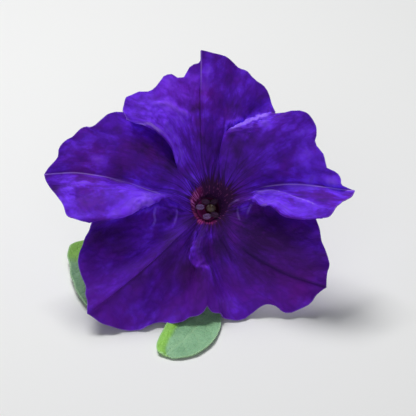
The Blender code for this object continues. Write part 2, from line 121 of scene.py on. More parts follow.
# The scalloped rim: the points (p, q) that it passes between a rib's end and the next rib's.
SCALLOPS = {
    "top_mid": ((-0.6, 41.3), (0.7, 40.9), (2.7, 40.5), (4.2, 40.1), (5.4, 39.3)),
    "top_right_1": ((8.2, 37), (9.2, 36.7), (10.3, 36.2), (11.7, 34.7)),
    "top_right_2": ((14.8, 32.3), (15.6, 31.2), (16.5, 29.1), (17.1, 26.9)),
    "right_ridge": ((18.6, 24.2), (20.6, 24.6), (22.6, 25.1)),
    "right_up_1": ((26.7, 24.5), (28.3, 22.6), (29.2, 20.6)),
    "right_up_2": (
        (28.8, 16.6), (29.6, 15.2), (31.1, 13.4), (31.7, 11.1), (32.1, 9.6), (33.6, 8.9), (35, 8.1),
        (35.9, 6.5), (36.1, 4.9),
    ),
    "right_mid": ((38.9, 2.2),),
    "right_low": ((35, -0.5), (34.3, -1.5), (32.8, -3.5)),
    "right_valley": ((29.7, -5.6), (30.4, -8.2)),
    "low_right_up": ((31.6, -12.4), (32.4, -14.6), (32.9, -17), (32.4, -18.6), (32.1, -20.6)),
    "low_right_mid": ((30.3, -24.3), (29.2, -25.3), (28.4, -26.6), (27.3, -27.8), (25, -28.9)),
    "low_right_1": ((20.4, -30), (19, -28.8), (17.2, -27.9), (15.4, -27.8), (13.7, -28.6), (11.4, -30.4)),
    "low_right_2": ((7.5, -32.4), (5.8, -32), (4.5, -31.6), (3, -30.3), (0.9, -30)),
    "low_fold": ((-1.9, -30), (-3.6, -30.9), (-5.4, -31.2), (-7.2, -32.2), (-9.2, -33)),
    "low_left_1": ((-13.2, -32.5), (-15.1, -32.7), (-17, -33.9), (-19.2, -34.9)),
    "low_left_2": ((-23.9, -34.8), (-27, -33.8), (-29.6, -32.9), (-31.6, -31.5)),
    "low_left_mid": ((-33.3, -27.3), (-33.9, -25), (-33.9, -23.2), (-34.6, -21.4)),
    "low_left_up_1": ((-36.1, -16.5), (-35.4, -12.8), (-34.4, -9.6), (-33.2, -7.2)),
    "left_shelf": ((-36.4, -4.9), (-38.9, -3.6), (-40, -0.9)),
    "left_low": ((-43.6, 4), (-44.9, 6)),
    "left_mid": ((-44, 9.8), (-42.4, 11.4), (-41.6, 12.6), (-41.4, 14.7)),
    "left_up_1": (
        (-39.2, 17.2), (-37.6, 18), (-36.3, 19.4), (-35.2, 20.3), (-33.9, 20.8), (-33, 20.6), (-31.8, 21),
    ),
    "left_up_2": ((-28, 24.3), (-26, 24.8), (-24.2, 25.1)),
    "top_left_roll": ((-23.8, 25), (-23.5, 26.7), (-22.9, 28.8)),
    "top_left_1": ((-19.4, 30.4), (-17, 30.4), (-15.1, 31.4), (-13.8, 33.1), (-12.4, 34.9)),
    "top_left_2": ((-8.5, 34.1), (-6.9, 34.5), (-6, 36.2), (-5, 37.5), (-3.4, 38), (-2.7, 38.8)),
}

# Midribs: how high each stands, over what width, and the drops just before it and just after it, going
# clockwise. The next number says how pale its line is, a painted highlight along its edge, or how dark
# below 0, a painted shadow in its crease. The one after it is the strength of a painted shadow line beside
# it, below 0 before the midrib and above 0 after it. The last is the share of the way out at which its line
# is whole.
MIDRIBS = {
    "top_mid": (0.3, 1.4, 1.1, 0.0, 0.75, -1.5, 0.95),
    "right_mid": (-0.6, 2.0, 0.35, 0.0, 0.95, -0.6, 0.4),
    "low_right_mid": (-0.4, 1.2, 0.0, 0.0, -0.8, 0, 0.4),
    "low_left_mid": (0.3, 1.0, 1.1, 0.0, 0.1, -1, 0.4),
    "left_mid": (-0.6, 2.0, 0.0, 0.35, 0.88, 0.6, 0.7),
}

# Small folds: the ribs that they lie between, height, half width, how much painted highlight each gets
# along its crest (below 0, painted shade), and the crest's points (p, q).
FOLDS = (
    (
        "right_mid", "right_shelf", 0.6, 0.9, 0.2,
        ((12.4, 2.8), (17, 3.2), (20.3, 2.2), (23, 1.1), (25.7, 0.1), (31, -2.2)),
    ),
    ("left_shelf", "left_mid", 0.5, 1.3, 0.1, ((-29, 6), (-33.6, 5.2), (-36.4, 3.8), (-41.9, 2.4))),
    ("left_shelf", "left_low", 0.6, 1, 0.2, ((-17.7, 1.2), (-17.9, -1.2))),
    (
        "low_left_up_1", "left_valley", 0.5, 0.45, 0.3,
        ((-14.5, -0.5), (-15.2, -3.1), (-15, -4.9), (-16, -7.2)),
    ),
    (
        "low_left_up_1", "left_valley", 0.4, 0.4, 0.25,
        ((-9.4, -0.9), (-9.1, -2.6), (-9.4, -4.6), (-10.2, -6.9)),
    ),
    (
        "top_left_1", "top_mid", 0.6, 0.8, 0.3,
        ((-15.5, 26.4), (-12, 26.6), (-8.6, 25.2), (-5, 23.2), (-4, 20)),
    ),
    (
        "top_left_valley", "top_left_1", 0.3, 0.5, 0.5,
        (
            (-21.5, 22.4), (-18.4, 21.7), (-15.4, 21.1), (-12.6, 18.6), (-10.4, 15.8), (-9.6, 13.6),
            (-9, 11.1),
        ),
    ),
    ("top_valley", "right_up_1", 0.5, 0.5, 0.35, ((2.7, 20.6), (5.4, 21.4), (12.2, 22.2), (17, 24.3))),
    ("top_right_2", "right_ridge", 0.4, 0.6, 0.15, ((8.1, 22.8), (12, 23), (15.6, 24.6))),
    ("right_ridge", "right_up_1", 0.5, 0.4, 0.3, ((12, 21.6), (9.7, 17))),
    ("right_up_1", "right_up_2", 0.3, 1.4, 0.1, ((14, 13), (20, 17.5), (25, 19))),
    ("low_right_mid", "low_right_2", -0.3, 0.5, -0.2, ((0.8, -7.4), (4.4, -12.7), (5.8, -15.9))),
    (
        "low_right_2", "low_left_2", 0.6, 0.45, 0.4,
        (
            (-4.1, -8), (-4.2, -10), (-4.3, -13), (-5, -15), (-3.6, -16.8), (-1.2, -17.9), (-0.3, -19.6),
            (0.6, -22.6),
        ),
    ),
    ("right_shelf", "low_right_up", 0.45, 0.35, 0.3, ((11.9, 0.5), (11, -1), (10, -4))),
    ("right_low", "low_right_up", 0.35, 0.3, 0.2, ((9.1, 1), (6.6, 0.3), (5.2, -0.8), (4.4, -2.6))),
    ("right_shelf", "low_right_up", 0.25, 0.3, 0.15, ((7.9, -0.3), (7.7, -2.4), (8.6, -5.7))),
    ("left_shelf", "left_low", 0.2, 0.25, 0.3, ((-12.5, 1.6), (-11.7, 0.9), (-10.4, -0.1), (-8.4, -0.9))),
    (
        "right_mid", "right_shelf", 0.3, 0.35, 0.3,
        ((12.2, 1), (13.6, 2.2), (16.5, 2.9), (19.6, 1.5), (22.5, 0.9), (26, -0.6)),
    ),
)

# Thin pale lines painted along the folds as highlights on their lit edges: the ribs that each lies
# between, its paleness and its points (p, q).
HIGHLIGHT_LINES = (
    ("right_low", "low_right_up", 0.67, ((4.2, -3.6), (4.4, -2.6), (5.2, -0.8), (6.6, 0.3), (9.1, 1))),
    ("right_shelf", "low_right_up", 0.6, ((7.9, -0.3), (7.6, -1.8), (7.9, -3.8), (8.6, -5.7))),
    ("right_shelf", "low_right_up", 0.64, ((12, 0.5), (11.1, -0.8), (10.4, -2.5), (10, -4))),
    ("low_left_up_1", "left_valley", 0.64, ((-14.5, -0.3), (-15.2, -3.1), (-15, -4.9), (-16, -7.2))),
    ("low_left_up_1", "left_valley", 0.58, ((-9.4, -0.7), (-9.1, -2.6), (-9.4, -4.6), (-10.2, -6.9))),
    ("right_ridge", "right_up_1", 0.7, ((12, 21.4), (10.1, 17.4))),
    (
        "right_mid", "right_shelf", 0.75,
        ((12.2, 2.7), (17, 3.3), (20.3, 2.3), (23, 1.2), (25.7, 0.2), (29.4, -1.6)),
    ),
    ("left_shelf", "left_mid", 0.75, ((-27, 6.8), (-22, 5.8), (-18, 4.2), (-15, 2.8), (-12.8, 1.7))),
    ("left_shelf", "left_mid", 0.6, ((-32.4, 6.2), (-36, 4.9), (-40.2, 2.7))),
    ("top_valley", "right_up_1", 0.8, ((5, 19.9), (7.4, 20.6), (11, 21.6), (14, 22.9), (16.9, 24))),
    (
        "top_left_valley", "top_left_2", 0.8,
        ((-23.2, 23.6), (-21.6, 22.4), (-18.8, 21.5), (-16.4, 21.3), (-14.9, 20.3), (-12.9, 18.7)),
    ),
)
HIGHLIGHT_LINE_SHARPNESS = 0.6  # under 1 makes them wider than the midribs' lines
HIGHLIGHT_LINE_CUT = 9.0  # how much farther off a line counts as being, beyond its ribs

# The corolla's mesh.
MIDRIB_HEIGHT = 0.7  # the setting with which the midribs have the heights in their table
MIDRIB_CROWDING = 1.6  # over 1 draws the columns to the midribs
PETAL_COLUMNS = 440
TUBE_ROWS = 16
LIMB_ROWS = 92
FIELD_RADIUS = 7.0  # of the circle that the petals' veins and streaks are drawn round
CREASE_SHARPNESS = 6  # over 1 narrows the creases of crumpled places

# Crumpled places, as (p, q), their reach and how strongly they are crumpled; the same strength sets the
# painted highlights on their creases' crests and the painted shade between them.
CRUMPLES = (
    (4.6, 20.6, 2.4, 1), (9.5, 22, 2.6, 1), (14, 23.2, 2.4, 0.8), (-15.5, 0.4, 2.8, 0.6),
    (-18.5, -0.6, 2.2, 0.8), (-11, -2.5, 2.8, 0.7), (13, 1.2, 2.6, 0.5), (18, 0.6, 3, 0.3),
    (7, -0.6, 2, 0.6), (-4.9, -13, 2.2, 0.9), (-2.2, -18, 2.4, 0.9), (0.4, -8.5, 3, 0.6), (-13, 22, 3, 0.6),
    (-17, 24.5, 3, 0.5), (-37, 2.5, 3.5, 0.6),
)

# Painted shade (below 0) and painted highlights, the light and shade of the petals painted into their
# violet, with some patches of the petals' own deeper or brighter tone: (p, q), the patch's reach and how
# much.
SHADE_AND_TONE_PATCHES = (
    (23, -9, 5, -0.32), (13, -12, 6, -0.42), (8, -5.6, 3.4, -0.5), (20, -11, 3.5, -0.22),
    (2, -5.2, 2.4, -0.9), (-5, -6, 2.5, -0.4), (-5, -11, 2.5, -0.15), (7.2, 1.2, 1.4, -0.8),
    (4, -27.5, 3.2, 0.6), (-4.6, -23.6, 3, -0.6), (-31, -9, 3, -0.4), (-25, -11, 3, -0.15),
    (-17, -8.5, 2.4, 0.2), (-17.5, -12, 2.6, 0.3), (-21, -23.5, 3, -0.25), (-10, -14, 4, -0.15),
    (30, 6, 3.6, 0.25), (27, 5, 2.4, 0.5), (33, 5.4, 2, 0.3), (35, 4.2, 3, 0.42), (30, 1.5, 2, -0.35),
    (22, 5.6, 2.6, 0.16), (28, 13, 4, 0.24), (20.6, 9, 2.5, -0.2), (9.5, 8.6, 2, -0.3),
    (8.8, 21.4, 1.8, 0.3), (15, 22, 2.2, 0.28), (4.5, 34, 3, -0.3), (6, 18.6, 1.8, -0.25),
    (1, 15, 2.4, -0.3), (18.5, 16.5, 2.6, -0.18), (15, 28, 2, -0.15), (-5, 34, 2.4, 0.2),
    (-0.5, 38, 2.4, 0.15), (-9, 28.5, 2.2, -0.1), (-38, 7, 3.6, 0.2), (-28, 6.6, 3.6, 0.16),
    (-20, 7, 3, 0.12), (-24, 10.4, 3, -0.15), (-17.5, 2.6, 2, 0.25), (-21, 4.2, 2.2, 0.25),
    (-13.5, 5.5, 2, -0.1), (-6, 2.6, 1.8, 0.35), (-33, 18, 3, 0.34), (-31, 14.6, 1.6, -0.25),
    (-29, 11, 2.4, 0.25), (-25, 20.6, 1.4, -0.4), (-5, 7, 2, 0.3), (15, -17, 10, -0.14),
    (-17, -20, 9, -0.08), (8, 26, 7, -0.1), (-30, 0, 6, 0.08), (-9, 26, 5, 0.1), (5, -9, 3, -0.4),
    (5, -5, 2.6, -0.35), (9, -15, 4, -0.15), (16, -20, 5, -0.3), (24, -17, 5, -0.26), (5, -23, 4, -0.2),
    (-27, -9, 5, -0.36), (-20, -32, 4, 0.2), (-16, -26, 3, 0.05), (10, 9, 3.5, -0.22), (8, 16, 4, -0.2),
    (14, 19, 4, -0.1), (24, 20, 4, 0.06), (-34, 2, 4, -0.1), (-18, 13, 6, -0.22), (-15, 15.5, 3.6, -0.35),
    (-32, 10.5, 3, 0.12), (-9, 17, 2.2, 0.16), (-7, 12, 2, 0.14), (6, 20.5, 2.5, 0.12), (-10, 30, 5, 0.08),
    (1.8, 14, 1, -0.25), (-1, -15, 8, -0.16), (5.5, 4.5, 2.5, -0.2), (-26, 12, 3.5, -0.12),
    (-20, 16, 2.5, -0.1), (-30, 6.5, 3, -0.1), (-22, 8, 2, 0.1), (-8, 24, 3, 0.08), (3, 8, 2.5, -0.15),
    (-12, 9.5, 3, -0.25), (-25, 9, 2.6, -0.3), (-31, 12, 2, 0.3), (-11, 3.4, 2.4, 0.3),
    (8.4, 0.6, 1.6, -0.35), (23, 4.8, 2.6, 0.4), (8, 14.4, 2.2, -0.25), (7, 26, 2.4, -0.2),
    (10, 31, 1.8, -0.1), (15, 21.6, 1.6, 0.3), (-3.4, 27, 1.4, -0.3), (-31, -13, 3, -0.25),
    (-12, -17, 3, -0.3), (28.5, -17, 2.6, -0.35), (19, -10.5, 2, -0.2), (-6, -22, 3, -0.25),
    (10.4, 14.4, 1.8, 0.4), (7, 15, 1.8, -0.2), (-42.4, 3.6, 1.3, -0.6), (-11, 26, 2, 0.22),
    (-7.6, 24.3, 1.6, 0.2), (-35, 4.6, 1.6, 0.2), (-38.6, 3.4, 1.6, 0.2), (-36, 7, 1.6, -0.2),
    (-39, 10, 2, -0.2), (-26, -3.6, 2, 0.25), (-20, -3, 1.6, 0.25), (33, 2, 1.6, -0.2),
    (28, -17.5, 2, -0.2), (23, -8.4, 2.4, 0.25), (6, -8, 1.8, 0.3), (3, -28, 1.8, 0.2),
    (29, -21.4, 1.6, 0.3), (-25, 8.6, 2, -0.15), (20, 12, 2, -0.15),
)

# The same where a petal overlaps another: painted shade under the overlapping edge and painted highlights
# on it, by the ribs that the patches lie between.
OVERLAP_SHADING = {
    ("right_mid", "right_shelf"): (
        (26, 2.2, 2.2, -0.3), (13.8, 0.8, 1.6, 0.55), (17, 0.2, 2, 0.55), (20.5, -2.4, 2.2, 0.52),
        (25, -2.6, 3, 0.46), (30, -2.5, 2.6, 0.2),
    ),
    ("top_left_2", "top_mid"): (
        (-3.2, 30, 1.3, -0.4), (-3.2, 26, 1.3, -0.5), (-3, 22, 1.3, -0.5), (-2.8, 18, 1.3, -0.4),
    ),
    ("top_mid", "top_right_1"): (
        (-1.6, 36, 1.7, 0.3), (-1.5, 32, 1.7, 0.3), (-1.4, 28, 1.7, 0.35), (-1.3, 24, 1.6, 0.3),
    ),
    ("left_up_1", "top_left_valley"): ((-20, 20, 2.4, 0.25), (-10.5, 11, 2.4, -0.45)),
    ("top_left_roll", "top_left_2"): (
        (-12, 19.4, 1.6, 0.45), (-10.2, 17, 1.5, 0.3), (-8.2, 14, 1.4, 0.3), (-7.6, 11, 1.3, 0.25),
    ),
    ("right_valley", "low_right_mid"): (
        (13.2, -2.2, 2.1, -0.6), (17.5, -4.2, 3.4, -0.45), (13, -7.5, 3.4, -0.42), (22, -8, 4, -0.2),
        (12.6, -1.4, 1.2, -0.4),
    ),
    ("right_shelf", "low_right_mid"): ((9.5, -1.2, 1.4, 0.65), (6.1, -2.4, 1.4, -0.4)),
    ("left_shelf", "left_mid"): (
        (-13.6, 1.6, 1.4, 0.25), (-16.6, 0.9, 2, 0.34), (-20.5, 0, 3, 0.46), (-25, -2.4, 3.5, 0.34),
        (-31, -4, 3, 0.26),
    ),
    ("low_left_mid", "low_left_up_1"): ((-11, -10.6, 3.4, -0.45), (-17, -15, 4, -0.2)),
    ("low_left_mid", "left_valley"): ((-12, -3.4, 2, -0.32), (-20, -3.5, 3, -0.3), (-17, -6.5, 1.8, 0.12)),
    ("low_right_mid", "low_fold"): ((0.7, -12.9, 2.8, -0.75), (0.9, -8.6, 0.9, 0.25)),
    ("low_fold", "low_left_mid"): ((-8, -18, 3.6, -0.34),),
    ("low_right_2", "low_left_mid"): ((-4.5, -19.4, 2.6, -0.45), (-3.2, -23.4, 2.8, -0.3)),
}

# Where the violet turns redder, partly the petals' own hue and partly a redder cast painted into the shade
# under the folds: (p, q), the patch's reach and how much.
REDDER = (
    (-5, 31, 6, 0.7), (-12, 29, 5, 0.5), (-0.8, 30, 2, 0.5), (-33, 11, 6, 0.6), (-31, 14, 3, 0.4),
    (-17, 15, 5, 0.7), (-21, -6, 4, 0.5), (25, -22, 6, 0.7), (14, -14, 7, 0.4), (-5, -18, 4, 0.5),
)

# The maroon throat's edge, as points (p, q) round it, and its crimson patches with their reach.
THROAT_EDGE = (
    (-5.4, 1.4), (-4.4, 3.6), (-2.4, 6), (0.6, 7.2), (3.6, 6), (6.8, 4), (7, 0), (4.2, -3.6), (2.8, -5.6),
    (-0.2, -5.8), (-3.2, -5.7), (-4.2, -3.2), (-5, -0.8),
)
CRIMSON = (
    (-4.6, 0.5, 1.4), (-3.9, 2.1, 1.4), (-2.8, 3.7, 0.8), (-3.9, -1.4, 1.3), (-3.5, -3, 1.2),
    (-2.6, -4.9, 1.1), (-0.9, -5.1, 0.4), (0.3, -5.2, 0.9), (1.2, -4.8, 0.4),
)

# Calyx and receptacle, round the foot of the tube.
RECEPTACLE_TOP = -33.5
RECEPTACLE = ((0.0, 4.3), (0.8, 4.2), (1.7, 3.3), (2.6, 1.9), (3.8, 1.25))  # depths and radii of its cup
SEPAL_LENGTH = 14.0
SEPAL_WIDTH = 3.4
SEPAL_SPREAD = 3.4  # how far a tip stands off the tube
FIRST_SEPAL_DEG = 54.0

# Stamens and pistil, each with its place (p, q, w).
ANTHERS = ((-2.7, -0.9, -4.0), (-0.85, -3.55, -3.6), (1.3, -3.0, -4.8), (-1.2, 0.6, -5.2), (0.9, 0.5, -7.0))
ANTHER_DEPTHS = (-0.15, 0.3, 0.95, 0.9, 1.2)  # how deep in the throat's shade each looks, from 0 to 1
ANTHER_TURNS = (0.1, -1.0, 0.7, 0.7, -0.6)  # away from straight out of the middle, in radians
ANTHER_SIZE = (1.18, 0.8, 0.72)  # half its length, width and thickness
FILAMENT_RADIUS = 0.28
FILAMENT_FOOT = -26.0
STIGMA = (0.25, -1.25, -3.6)
STIGMA_RADIUS = 1.05
OVARY_RADIUS = 1.3
OVARY_PROFILE = ((0, 0.75), (0.15, 0.95), (0.4, 1), (0.7, 0.72), (0.9, 0.42), (1, 0.24))
OVARY_TOP = -27.5
STYLE_RADIUS = 0.3

# The shoot. Points are (x, y, z) from the spot on the surface below the throat.
PEDICEL_RADIUS = 0.95
PEDICEL_ROUTE = ((0, 36, 4.7), (-1.2, 40.8, 2.0), (-5, 44.1, 1.2), (-10.1, 43.1, 2.3))
PEDICEL_FOOT = (-12.6, 42.9, 2.6)  # inside the stem
STEM_ROUTE = (  # x, y, z and the stem's radius there
    (12, 86, 1.72, 1.7),
    (5, 74, 1.72, 1.7),
    (-3, 62, 1.72, 1.7),
    (-9.6, 51, 1.9, 1.75),
    (-14.0, 42.8, 2.7, 2.2),
    (-18, 40.5, 5.2, 1.2),
    (-23, 42, 9.5, 0.9),
    (-28, 45, 13, 0.6),
)
CUT_RINGS = ((0.0003, 0.0), (0.0004, -0.00012), (0.0005, 0.00005))  # the cut end's rings, in metres
STALK_LENGTH = 0.08  # as a share of a leaf's length
STALK_WIDTH = 0.13  # as a share of its widest
WIDEST = 1.15  # over 1 puts the widest place past the middle
ROUNDNESS = 0.5  # under 1 rounds both ends
TIP_CROWDING = 1.3  # over 1 draws a leaf's rows to its tip
LEAF_THICKNESS = 0.38
LEAF_SHADE = 0.56  # how deep the other leaves' green is, as a share of the low leaf's

# Leaves: the nodes that they stand for, their routes, widths and the rises of their sides, as a share of
# the half width.
LEAVES = {
    "low_leaf": (
        "leaf_under",
        (
            (-12.4, 40.2, 1.4), (-11.2, 30, 0.9), (-9, 12, 0.9), (-5.8, -6, 0.35), (-3.9, -18.2, 0.3),
            (-12.2, -32.3, 0.3),
        ),
        17.2,
        0.08,
    ),
    "side_leaf": (
        "leaf_left",
        ((-16.8, 41.3, 1.1), (-23, 38.5, 1.5), (-28, 30, 1.8), (-29.6, 12, 0.8), (-26.5, -12.5, 0.3)),
        20.0,
        0.25,
    ),
    "young_leaf_1": ("shoot_leaf_1", ((-21.6, 40, 8.6), (-25, 35, 10.5), (-30, 28, 9.5)), 7.0, 0.3),
    "young_leaf_2": ("shoot_leaf_2", ((-23.6, 43.8, 10.4), (-25, 49.5, 12.5), (-28, 57, 11)), 6.0, 0.3),
    "young_leaf_3": ("shoot_leaf_3", ((-28.5, 45.2, 13.4), (-32, 47, 17), (-36.5, 48.5, 20)), 4.5, 0.3),
}

# Grown leaves and young ones: rows and columns, the side veins' spacing, the widths of veins and midrib,
# how deep they are pressed in, and the heights of the waves and the dimples.
LEAF_DETAILS = {
    False: (150, 81, 5.5, 0.28, 0.45, 1.0, 0.45, 0.2),
    True: (60, 37, 2.2, 0.16, 0.25, 0.5, 0.16, 0.0),
}

# The uneven side of a leaf, its left (1) or right (-1): shares of the leaf's length and the widths there,
# as shares of the even side's.
LEAF_SIDES = {
    "low_leaf": (
        -1,
        (0.62, 0.7, 0.75, 0.79, 0.83, 0.88, 0.93, 1),
        (1, 0.88, 0.83, 0.86, 0.96, 1.07, 1.2, 1.2),
    ),
    "side_leaf": (
        1,
        (0.33, 0.4, 0.44, 0.47, 0.55, 0.62, 0.75, 0.85, 0.93, 1),
        (0.55, 0.66, 1.0, 1.13, 1.1, 1.04, 1.05, 1.12, 1.25, 1.2),
    ),
}

# Hairs: the piece, what it grows on, its slot, how many there are, their length and radius, and the seed.
HAIRS = (
    ("stem_hairs", "shoot_stem", "stem", 1500, 0.55, 0.028, 11),
    ("stalk_hairs", "flower_stalk", "stalk", 700, 0.5, 0.028, 12),
    ("calyx_hairs", "calyx", "sepal", 900, 0.5, 0.028, 13),
    ("tube_hairs", "ruffled_corolla", "petal", 600, 0.4, 0.022, 21),
)
HAIRY_TUBE = (-33.0, -6.0)  # from where to where along its axis the tube has hairs
HAIRY_RADIUS = 6.5  # how far from its axis

# The stage, in metres.
FLOOR_SIZE = 4.0
FLOOR_HEIGHT = -0.0002
FLOOR_COLOUR = (0.87, 0.87, 0.86, 1.0)
LAMPS = (  # each lamp's place from the throat, its size and its power
    ("key_lamp", (-0.14, 0.2, 0.58), 0.28, 3.6),
    ("fill_lamp", (-0.1, -0.9, 0.35), 0.8, 2.4),
)
SKY_COLOUR = (0.9, 0.95, 1.0, 1.0)
SKY_STRENGTH = 0.13
CAMERA_ELEVATION = math.radians(31.0)
CAMERA_DISTANCE = 0.6
CAMERA_LENS = 189.5
CAMERA_SHIFT = (-0.00055, -0.0014)  # of its aim from the throat, to the right and up


def unit(vectors):
    return vectors / np.maximum(np.linalg.norm(vectors, axis=-1, keepdims=True), 1e-12)


def smooth_step(values, start, end):
    share = np.clip((np.asarray(values, float) - start) / (end - start), 0, 1)
    return share * share * (3 - 2 * share)


def spline(a, b, c, d, t):
    """The centripetal Catmull-Rom curve from b to c at a share t of the way, for rows of points at once."""
    t1 = np.sqrt(np.linalg.norm(b - a, axis=-1, keepdims=True)) + 1e-6
    t2 = t1 + np.sqrt(np.linalg.norm(c - b, axis=-1, keepdims=True)) + 1e-6
    t3 = t2 + np.sqrt(np.linalg.norm(d - c, axis=-1, keepdims=True)) + 1e-6
    s = t1 + (t2 - t1) * t
    ab = (a * (t1 - s) + b * s) / t1
    bc = (b * (t2 - s) + c * (s - t1)) / (t2 - t1)
    cd = (c * (t3 - s) + d * (s - t2)) / (t3 - t2)
    abc = (ab * (t2 - s) + bc * s) / t2
    bcd = (bc * (t3 - s) + cd * (s - t1)) / (t3 - t1)
    return (abc * (t2 - s) + bcd * (s - t1)) / (t2 - t1)


def smooth_line(points, count, shares=None):
    """The smooth open curve through the points, at even stations or at the given shares of its length."""
    points = np.array(points, float)
    ends = np.vstack([2 * points[0] - points[1], points, 2 * points[-1] - points[-2]])
    fine = [spline(*ends[i : i + 4], k / 24) for i in range(len(points) - 1) for k in range(24)]
    fine = np.array([*fine, points[-1]])
    run = length_along(fine)
    stations = run[-1] * (np.linspace(0, 1, count) if shares is None else np.asarray(shares))
    return np.stack([np.interp(stations, run, column) for column in fine.T], axis=1)


def in_object(points):
    """Flower points (p, q, w) in the object's frame."""
    p, q, w = np.moveaxis(np.asarray(points, float), -1, 0)
    y = q * math.sin(FACE_ELEVATION) - w * math.cos(FACE_ELEVATION)
    z = q * math.cos(FACE_ELEVATION) + w * math.sin(FACE_ELEVATION)
    return np.stack([p, y, z], axis=-1) + np.array(THROAT)


def on_axis(w):
    """Points at heights w on the flower's axis, in the object's frame."""
    return in_object(np.stack([w * 0, w * 0, w], axis=1))


def beside_flower(points):
    """Shoot points, given from the spot on the surface below the throat, in the object's frame."""
    return np.asarray(points, float) + np.array((THROAT[0], THROAT[1], 0))


def bend_on_floor(points):
    """Keeps every point over the surface, so a rim that meets it turns along it."""
    points = points.copy()
    height = points[..., 2] / FLOOR_BEND
    points[..., 2] = FLOOR_BEND * (np.log1p(np.exp(-np.abs(height))) + np.maximum(height, 0))
    return points


def noise_of(points, scale, seed=0.0):
    """Smooth noise from -1 to 1 at each point, with features about the given size."""
    flat = np.asarray(points, float).reshape(-1, 3) / scale + seed
    values = [noise.noise(point) for point in flat.tolist()]
    return np.array(values).reshape(np.asarray(points).shape[:-1])


def surface_normals(grid):
    """The normals of a grid of points, rows along it and columns across it."""
    return unit(np.cross(np.gradient(grid, axis=0), np.gradient(grid, axis=1)))


def patch(places, p, q, size):
    """1 at (p, q), fading away over the given size."""
    return np.exp(-(((places - (p, q)) ** 2).sum(axis=-1)) / (size * size))


def distance_to_line(places, line):
    """The distance of each place (p, q) to a line of points (p, q)."""
    nearest = np.full(places.shape[:-1], 1e9)
    for start, end in zip(line, line[1:]):
        run = end - start
        share = np.clip((places - start) @ run / (run @ run), 0, 1)
        gap = np.linalg.norm(places - start - share[..., None] * run, axis=-1)
        nearest = np.minimum(nearest, gap)
    return nearest


def depth_inside(places, outline):
    """How far inside a closed outline each place (p, q) lies; below 0 it is outside."""
    line = np.array([*outline, outline[0]], float)
    inside = np.zeros(places.shape[:-1], bool)
    for (p0, q0), (p1, q1) in zip(line, line[1:]):
        crosses = (q0 > places[..., 1]) != (q1 > places[..., 1])
        at = p0 + (places[..., 1] - q0) / (q1 - q0 + 1e-12) * (p1 - p0)
        inside ^= crosses & (places[..., 0] < at)
    return np.where(inside, 1, -1) * distance_to_line(places, line)


def tube_at(w):
    """The tube's radius at a height w on its axis, and its middle there."""
    rings = np.array(TUBE_PROFILE, float)
    radius, p, q = (np.interp(w, rings[:, 3], rings[:, column]) for column in range(3))
    return float(radius), np.array((p, q, w))


def out_from_axis(turn):
    return np.array((math.cos(turn), math.sin(turn), 0.0))


# Meshes


def deselect():
    if bpy.context.object and bpy.context.object.mode != "OBJECT":
        bpy.ops.object.mode_set(mode="OBJECT")
    bpy.ops.object.select_all(action="DESELECT")


def make_active(piece):
    deselect()
    piece.select_set(True)
    bpy.context.view_layer.objects.active = piece


def coordinates(piece):
    flat = np.empty(len(piece.data.vertices) * 3)
    piece.data.vertices.foreach_get("co", flat)
    return flat.reshape(-1, 3)


def move_vertices(piece, points):
    """Puts each vertex at its point in millimetres."""
    piece.data.vertices.foreach_set("co", (points * MM).ravel())


def add_ball(name, segments, rings):
    """A ball of radius 1, with the x, y and z of its vertices."""
    deselect()
    bpy.ops.mesh.primitive_uv_sphere_add(segments=segments, ring_count=rings, radius=1.0)
    ball = bpy.context.active_object
    ball.name = ball.data.name = name
    return ball, *coordinates(ball).T


def add_sheet(name, points):
    """A grid primitive shaped to rows of points in millimetres."""
    rows, columns = points.shape[:2]
    deselect()
    bpy.ops.mesh.primitive_grid_add(x_subdivisions=columns - 1, y_subdivisions=rows - 1, size=1.0)
    sheet = bpy.context.active_object
    sheet.name = sheet.data.name = name
    x, y, z = coordinates(sheet).T
    column = np.rint((x + 0.5) * (columns - 1)).astype(int)
    row = np.rint((y + 0.5) * (rows - 1)).astype(int)
    move_vertices(sheet, points[row, column])
    return sheet, row, column


def paint(piece, name, values):
    """Writes three numbers at each vertex as an attribute that materials read."""
    attribute = piece.data.attributes.new(name, "FLOAT_VECTOR", "POINT")
    attribute.data.foreach_set("vector", np.asarray(values, np.float32).ravel())


def apply_modifier(piece, kind, **settings):
    make_active(piece)
    modifier = piece.modifiers.new(kind.lower(), kind)
    for name, value in settings.items():
        setattr(modifier, name, value)
    bpy.ops.object.modifier_apply(modifier=modifier.name)


def merge_seam(piece, close_ends=False):
    """Joins the first column of a sheet to its last, and closes its two open ends if asked."""
    make_active(piece)
    bpy.ops.object.mode_set(mode="EDIT")
    bpy.ops.mesh.select_all(action="SELECT")
    bpy.ops.mesh.remove_doubles(threshold=1e-7)
    if close_ends:
        bpy.ops.mesh.select_all(action="DESELECT")
        bpy.ops.mesh.select_mode(type="EDGE")
        bpy.ops.mesh.select_non_manifold()
        bpy.ops.mesh.edge_face_add()
        bpy.ops.mesh.select_mode(type="VERT")
    bpy.ops.mesh.select_all(action="SELECT")
    bpy.ops.mesh.normals_make_consistent(inside=False)
    bpy.ops.object.mode_set(mode="OBJECT")


def join_pieces(name, pieces):
    """Joins pieces into the first one, which takes the name."""
    make_active(pieces[0])
    for piece in pieces[1:]:
        piece.select_set(True)
    bpy.ops.object.join()
    joined = bpy.context.active_object
    joined.name = joined.data.name = name
    return joined


def frames_along(line):
    """Two directions across a line at each of its points, without a twist."""
    along = unit(np.gradient(line, axis=0))
    side = np.cross(along[0], (0, 0, 1)) + np.array((1e-4, 0, 0))
    sides = []
    for ahead in along:
        side = unit(side - ahead * np.dot(side, ahead))
        sides.append(side)
    sides = np.array(sides)
    return sides, np.cross(sides, along)


def length_along(line):
    """How far along the line each of its points is."""
    return np.concatenate([[0], np.cumsum(np.linalg.norm(np.diff(line, axis=0), axis=1))])


